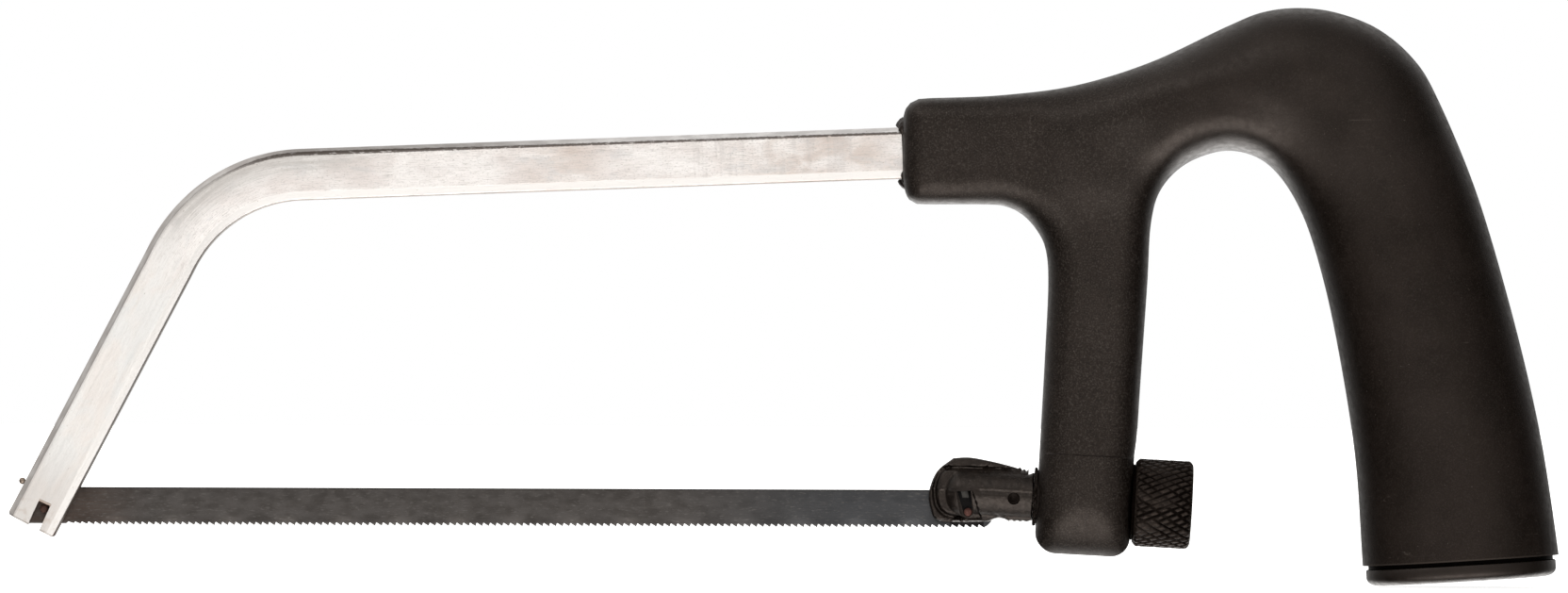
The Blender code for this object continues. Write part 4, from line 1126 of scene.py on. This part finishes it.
def nut():
    """Turned blank with a diamond knurl pressed into its rim."""
    rear = NUT_FRONT + NUT_LENGTH
    bore = THREAD_RADIUS + RUNNING_GAP
    front_face = [(0.35, bore), (0.0, bore + 0.35), (0.0, 5.0), (0.0, 6.1), (0.04, 6.3)]
    front_face += [(0.14, 6.45), (0.3, 6.66), (0.5, 6.85)]
    rear_face = [(0.5, 6.87), (0.32, 6.7), (0.14, 6.48), (0.04, 6.3), (0.0, 6.1), (0.0, 5.2)]
    rear_face += [(0.12, 5.05), (0.12, bore + 0.7), (0.0, bore + 0.6), (0.5, bore)]
    profile = [(NUT_FRONT + u, radius) for u, radius in front_face]
    profile += [(u, NUT_RADIUS) for u in np.linspace(NUT_FRONT + 0.65, rear - 0.65, 84)]
    profile += [(rear - u, radius) for u, radius in rear_face]
    # Rows round the rim, the slope of their grooves to the axis, and their width in the row
    rows = ((42, 25.0, 0.5), (27, -33.0, 0.34))
    depths = []

    def knurled(u, radius, angle):
        def rough_at(stretch, scale, seed):
            spots = np.stack([u * stretch, radius * np.cos(angle), radius * np.sin(angle)], -1)
            return rough(spots.reshape(-1, 3), scale, seed).reshape(u.shape)

        grooves = []
        for around, slope, width in rows:
            lead = math.tan(math.radians(slope)) * around / (2 * math.pi * NUT_RADIUS)
            phase = angle / (2 * math.pi) * around + (u - NUT_FRONT) * lead
            phase = phase + 0.12 * rough_at(0.5, 0.45, around)
            gap = np.abs(phase - np.round(phase)) * 2
            press = np.clip(0.75 + 0.75 * rough_at(0.5, 0.3, 11.0 + around), 0.3, 1.1)
            grooves.append(KNURL_DEPTH * np.clip(1.25 - gap / width, 0, 1) * press)
        knurl = smooth_step(radius, 6.5, 6.8)
        sunk = knurl * np.maximum(*grooves)
        depths.append(np.where(knurl > 0, sunk / KNURL_DEPTH, 0.3))
        return u, radius - sunk - knurl * np.abs(0.04 * rough_at(1.0, 2.2, 5.0))

    made = turned(profile, 540, knurled)
    attribute = made.data.attributes.new("depth", "FLOAT", "POINT")
    attribute.data.foreach_set("value", depths[0].astype(np.float32).ravel())
    return made


# --- Handle ---------------------------------------------------------------------------------


def handle_outline(step):
    """The handle's outline clockwise from the barrel's mouth, its grip drawn on past its end."""
    lip = [(MOUTH_X, 61.0), (135.65, 62.6), (136.0, 63.75), (136.65, 64.55), (137.7, 65.05)]
    chin = [(139.2, 48.6), (137.6, 48.75), (136.6, 49.3), (136.0, 50.4), (MOUTH_X + 0.15, 52.0)]
    crown = [(139.4, 65.3), (150.7, 65.8), (162.6, 67.4), (174.5, 71.1), (186.4, 76.7)]
    crown += [(192.3, 79.1), (198.3, 79.8), (204.3, 79.0), (210.6, 76.5), (216.0, 72.0)]
    back = [(219.8, 66.0), (226.0, 51.3), (231.4, 33.5), (235.8, 15.6), (238.5, 0.0), (242.0, -26.0)]
    front = [(209.6, -26.0), (208.3, -6.0), (207.3, 8.0), (205.3, 21.4), (202.3, 36.0)]
    arch = [(198.6, 47.5), (193.6, 54.8), (187.5, 57.2), (181.0, 55.5), (176.6, 51.5)]
    arch += [(174.8, 46.0), (174.2, 36.0), in_screw_frame(7.2, 20.0), in_screw_frame(7.1, 11.0)]
    heel = in_screw_frame(BOSS_REAR - 3.0, BOSS_BOTTOM + 3.0)
    toe = in_screw_frame(BOSS_FRONT + 3.3, BOSS_BOTTOM + 3.3)
    post = [in_screw_frame(BOSS_FRONT, w) for w in (BOSS_BOTTOM + 3.3, 8.0, 22.0)]
    post += [(158.6, 36.0), (158.2, 41.4), (156.8, 44.5), (154.5, 47.0), (151.8, 48.3), (148.5, 48.6)]
    points = spline(lip + crown + back, step) + [np.array(back[-1])]
    points += spline(front + arch + [in_screw_frame(BOSS_REAR, 7.5)], step)
    points += [in_screw_frame(BOSS_REAR, w) for w in np.arange(7.5, -5.0, -step)]
    points += arc(heel, 3.0, -SCREW_TILT, -90 - SCREW_TILT, 12)
    points += [in_screw_frame(u, BOSS_BOTTOM) for u in np.arange(3.0, -4.2, -step)]
    points += arc(toe, 3.3, -90 - SCREW_TILT, -180 - SCREW_TILT, 12)[:-1]
    points += spline(post + chin + [(MOUTH_X, 53.0)], step)
    return np.array(points + [(MOUTH_X, z) for z in np.arange(53.0, 60.9, step)])


def fullness(points):
    places = np.array([f[0] for f in FULLNESS])
    values = np.array([f[1:] for f in FULLNESS])
    weights = 1 / (((points[:, None] - places) ** 2).sum(2) + 1.0) ** 2
    return (weights[..., None] * values).sum(1) / weights.sum(1)[:, None]


def handle_height(outline):
    def height(points, side):
        reach, half, flat = fullness(points).T
        share = np.clip(distance_to(outline, points) / reach, 0, 1)
        u, w = to_screw_frame(points)
        boss = np.abs(u) < 9
        low = boss & (w < 0)
        side_reach = reach * (1 - 0.25 * smooth_step(-w, 0.0, 5.0))
        from_sides = np.clip(np.minimum(u - BOSS_FRONT, BOSS_REAR - u) / side_reach, 0, 1)
        share = np.where(low, from_sides, share)
        tall = flat + (half - flat) * np.sqrt(1 - (1 - share) ** 2)
        below = np.clip(1 - (w - BOSS_BOTTOM) / -BOSS_BOTTOM, 0, 1)
        tall = tall * np.where(low, np.sqrt(1 - BOSS_ROUND * below**2), 1.0)
        proud = 0.24 * boss * smooth_step(-w, -WITNESS_LINE - 0.07, -WITNESS_LINE + 0.07)
        return tall + proud * smooth_step(share, 0.0, 0.3) * smooth_step(w, -9.0, 3.0)

    return height


def spaced(kept, candidates, spacing):
    """The candidates that lie at least the spacing from each other and from those kept."""
    cells = {}
    added = []

    def cell_of(p):
        return int(p[0] // spacing), int(p[1] // spacing)

    for p in kept:
        cells.setdefault(cell_of(p), []).append(p)
    for p in candidates:
        i, j = cell_of(p)
        near = [q for a in (-1, 0, 1) for b in (-1, 0, 1) for q in cells.get((i + a, j + b), ())]
        if all((q[0] - p[0]) ** 2 + (q[1] - p[1]) ** 2 >= (spacing * 0.98) ** 2 for q in near):
            cells.setdefault((i, j), []).append(p)
            added.append(p)
    return added


def handle_points(outline):
    """Inner points of the handle: along the witness line, in rings near the edge, and in a grid."""
    inwards = inwards_from(outline)
    reach = fullness(outline)[:, 0]
    kept = list(outline)
    for level in (-0.25, -0.08, 0.08, 0.25):
        kept += [in_screw_frame(u, WITNESS_LINE + level) for u in np.arange(-7.4, 6.6, 0.4)]
    before = 0.0
    for angle in range(9, 91, 9):
        share = 1 - math.cos(math.radians(angle))
        ring = outline + inwards * (share * reach)[:, None]
        clear = distance_to(outline, ring) > 0.95 * share * reach
        gap = float((share - before) * reach.mean())
        kept += spaced(kept, ring[clear], min(0.55, 0.6 * gap))
        before = share
    step = 1.1
    grid = filling(outline, outline.min(0), outline.max(0), step)
    grid = grid[distance_to(outline, grid) > 0.5 * fullness(grid)[:, 0]]
    kept += spaced(kept, grid, step * 0.62)
    return np.array(kept)[len(outline) :]


def oval(centre, tilt, half_length, half_width):
    places = [(centre + direction(tilt) * half_length * x, half_width * y) for x, y in circle((0, 0), 1, 48)]
    return [(x, across, z) for (x, z), across in places]


def cut_off_below(made, centre, down):
    """Cuts the solid square to `down` and closes the cut."""
    bm = bmesh.new()
    bm.from_mesh(made.data)
    geometry = list(bm.verts) + list(bm.edges) + list(bm.faces)
    plane = {"plane_co": (centre[0], 0, centre[1]), "plane_no": (down[0], 0, down[1])}
    cut = bmesh.ops.bisect_plane(bm, geom=geometry, clear_outer=True, **plane)
    rim = [e for e in cut["geom_cut"] if isinstance(e, bmesh.types.BMEdge)]
    bmesh.ops.edgeloop_fill(bm, edges=rim)
    bmesh.ops.recalc_face_normals(bm, faces=bm.faces)
    bm.to_mesh(made.data)
    bm.free()


def handle():
    outline = handle_outline(0.8)
    shell = slab(outline, handle_points(outline), handle_height(outline))
    cut_off_below(shell, GRIP_END_CENTRE, direction(GRIP_END_TILT - 90))
    up = direction(GRIP_END_TILT + 90)
    pocket = [oval(GRIP_END_CENTRE + up * level, GRIP_END_TILT, *POCKET_HALF) for level in (-2.0, 10)]
    pocket += [oval((220.4, 20.0), 8.0, 10.6, 7.8), oval((216.2, 42.0), 14.0, 9.0, 7.0)]
    boolean(shell, lofted(pocket))
    tail, top = bow_path()[-1], direction(TOP_RISE)
    channel = np.array([tail - top * (TAIL_X - CHANNEL_X), tail + top * 0.3])
    boolean(shell, swept_bar(channel, CHANNEL_GAP))
    boolean(shell, rod(-12.0, 10.0, SLEEVE_RADIUS + BORE_GAP, 64))
    return shell


def mouth_flash():
    """Ragged flash squeezed out round the bar where it enters the barrel."""
    top, out = direction(TOP_RISE), direction(TOP_RISE + 90)
    middle = bow_path()[-1] - top * (TAIL_X - MOUTH_X) / top[0]
    corners = np.array(bar_section(0.05))
    loop = []
    for a, b in zip(corners, np.roll(corners, -1, axis=0)):
        count = max(2, int(np.linalg.norm(b - a) / 0.16))
        loop += [a + (b - a) * t for t in np.arange(count) / count]
    loop = np.array(loop)
    away = loop / np.linalg.norm(loop, axis=1)[:, None]
    spots = np.stack([loop[:, 0], loop[:, 1], np.zeros(len(loop))], -1)
    lump = np.clip(rough(spots, 0.9, 21.0) * 0.9 + 0.5, 0, 1)
    edge = smooth_step(np.abs(loop[:, 0]), 2.7, 3.6)
    proud = 0.08 + (0.12 + 0.75 * lump) * edge
    wide = 0.15 + (0.65 + 0.95 * lump) * edge
    rings = []
    for share, lift in ((0.0, -0.3), (0.0, 0.8), (0.2, 1.0), (0.45, 0.8), (0.8, 0.3), (1.0, -0.3)):
        spot = loop + away * (wide * share)[:, None]
        back = np.where(lift < 0, lift, lift * proud)
        place = middle + out * spot[:, :1] - top * back[:, None]
        rings.append(np.stack([place[:, 0], spot[:, 1], place[:, 1]], -1))
    return draft(np.concatenate(rings), grid_faces(len(rings), len(loop), wrap_rows=True))


def cap_ring(level, inset, inset_across=None):
    """Plan of the grip's end, drawn in by the inset, at a level above it."""
    reach, half, flat = fullness(GRIP_END_CENTRE[None])[0]
    angles = np.radians(np.linspace(0, 90, 18))
    along = (GRIP_END_HALF - reach * (1 - np.cos(angles))) * (1 - inset / GRIP_END_HALF)
    across = (flat + (half - flat) * np.sin(angles)) * (1 - (inset_across or inset) / half)
    x = np.concatenate([along, -along[::-1], -along, along[::-1]])
    y = np.concatenate([across, across[::-1], -across, -across[::-1]])
    place = GRIP_END_CENTRE + direction(GRIP_END_TILT) * x[:, None]
    place = place + direction(GRIP_END_TILT + 90) * level
    return np.stack([place[:, 0], y, place[:, 1]], -1)


def end_cap():
    top_edge = ((0, 0.3), (-0.08, 0.08), (-0.22, 0))
    rings = [cap_ring(lift - CAP_GROOVE, CAP_INSET + inset) for lift, inset in top_edge]
    base = -CAP_GROOVE - CAP_THICKNESS
    for angle in np.radians(np.arange(0, 91, 10)):
        inset = CAP_INSET + CAP_ROLL * (1 - math.cos(angle))
        rings.append(cap_ring(base + CAP_DROP * (1 - math.sin(angle)), inset))
    plate = lofted(rings)
    up = direction(GRIP_END_TILT + 90)
    levels = (-CAP_GROOVE - 1.0, 6.0)
    ovals = [oval(GRIP_END_CENTRE + up * s, GRIP_END_TILT, *CAP_SPIGOT_HALF) for s in levels]
    boolean(plate, lofted(ovals), "UNION")
    return plate


# The neck that fills the groove above the cap, made nearly black as painted shade
def cap_neck():
    levels = (0.02, -CAP_GROOVE - 0.3)
    return lofted([cap_ring(level, CAP_NECK_INSET, CAP_NECK_ACROSS) for level in levels])


# --- Stage ----------------------------------------------------------------------------------

FLOOR_GAP = 0.0002  # metres from the saw's lowest point down to the floor
FLOOR_REACH = 3.0


def floor():
    level = CAD_BOX[0][2] - FLOOR_GAP
    mesh = bpy.data.meshes.new("floor")
    square = rectangle(-FLOOR_REACH, -FLOOR_REACH, FLOOR_REACH, FLOOR_REACH)
    corners = [(x, y, level) for x, y in square]
    mesh.from_pydata(corners, [], [(0, 1, 2, 3)])
    made = linked("floor", mesh)
    made.data.materials.append(pale_floor())
    made.visible_glossy = False
    made.visible_diffuse = False


# Soft lights of the tent, the same before and behind the saw: direction, gain, and the cosines
# between which each fades in
LOBES = (
    ((0.0, 1.0, 0.0), 0.72, 0.15, 0.95),
    ((0.0, 0.7, -0.71), 3.4, 0.74, 0.985),
    ((0.0, 0.45, 0.89), 0.6, 0.55, 1.0),
    ((-0.78, 0.0, 0.62), 0.8, 0.7, 0.98),
)
TENT_GLOW = 0.1


def surroundings():
    """A white tent, dim at its two ends, that the camera sees as plain white."""
    world = bpy.data.worlds.new("tent")
    bpy.context.scene.world = world
    world.use_nodes = True
    tent = Nodes(world.node_tree)
    back, out = (world.node_tree.nodes[name] for name in ("Background", "World Output"))
    x, y, z = tent.axes(tent.node("ShaderNodeTexCoord").outputs["Generated"])
    folded = tent.node("ShaderNodeCombineXYZ", X=x, Y=tent.math("ABSOLUTE", y), Z=z).outputs[0]
    glow = TENT_GLOW
    for towards, gain, start, full in LOBES:
        facing = tent.vector("DOT_PRODUCT", folded, Vector(towards).normalized())
        glow = tent.math("ADD", tent.spread(facing, start, full, 0.0, gain), glow)
    tent.feed(back.inputs["Strength"], glow)
    tent.feed(back.inputs["Color"], (1.0, 0.985, 0.965))
    seen = tent.node("ShaderNodeBackground", Color=(1.0, 1.0, 1.0)).outputs[0]
    ray = tent.node("ShaderNodeLightPath").outputs["Is Camera Ray"]
    mixed = tent.combined("ShaderNodeMixShader", {}, ray, back.outputs[0], seen)
    tent.feed(out.inputs["Surface"], mixed.outputs[0])


def key_light():
    light = bpy.data.lights.new("key", "AREA")
    light.shape = "RECTANGLE"
    light.size, light.size_y = 0.9, 0.7
    light.energy = 3.0
    made = linked("key", light)
    made.location = (-0.5, -0.9, 1.0)
    made.rotation_euler = (-made.location).to_track_quat("-Z", "Y").to_euler()


def camera():
    """Level, square to the saw's side, a very long lens, rolled by a fifth of a degree."""
    distance, width = 2.5, 0.2479
    data = bpy.data.cameras.new("camera")
    data.sensor_width = 36.0
    data.lens = data.sensor_width * distance / width
    data.clip_end = 100.0
    roll = direction(0.2)
    right, up = (roll[0], 0, roll[1]), (-roll[1], 0, roll[0])
    rotation = Matrix((right, up, (0, -1, 0))).transposed().to_4x4()
    made = linked("camera", data)
    made.matrix_world = Matrix.Translation((-0.00004, -distance, -0.00025)) @ rotation
    bpy.context.scene.camera = made


def main():
    view = bpy.context.scene.view_settings
    view.view_transform = "Standard"
    view.look = "None"
    metal = {name: dark_metal(name, *values) for name, values in METALS.items()}
    plastic = {name: moulded(name, *values) for name, values in PLASTICS.items()}
    black, casing, copper = metal["black_steel"], plastic["moulded_plastic"], copper_pin()
    show(bow_bar(), "bow", plated(), "bow_bar", 40)
    show(stop_pin(), "stop_pin", metal["stop_pin_steel"], "bow_stop_pin", 60)
    show(blade_strip(), "blade", blued_strip(), "blade_strip", 30)
    for node, x in (("blade_pin_front", 0.0), ("blade_pin_rear", PIN_SPACING)):
        show(blade_pin(x), node + "_fine", copper, node, 50)
    show(holder(), "holder", metal["cast_black"], "holder_head", 50)
    show(stud(), "stud", metal["stud_steel"], "tension_stud", 28)
    show(cross_pin(), "cross_pin", black, "stud_cross_pin", 50)
    show(sleeve(), "sleeve", black, "guide_sleeve", 35)
    show(washer(), "washer", metal["washer_shade_steel"], "thrust_washer", 35)
    show(nut(), "nut", knurled_black(), "knurled_nut", 50)
    show(handle(), "handle", casing, "handle_shell", 40)
    show(mouth_flash(), "mouth_flash", casing, None, 60)
    show(end_cap(), "end_cap", plastic["cap_plastic"], "grip_end_cap", 40)
    show(cap_neck(), "cap_neck", plastic["groove_shade_plastic"], None, 40)
    floor()
    surroundings()
    key_light()
    camera()


main()
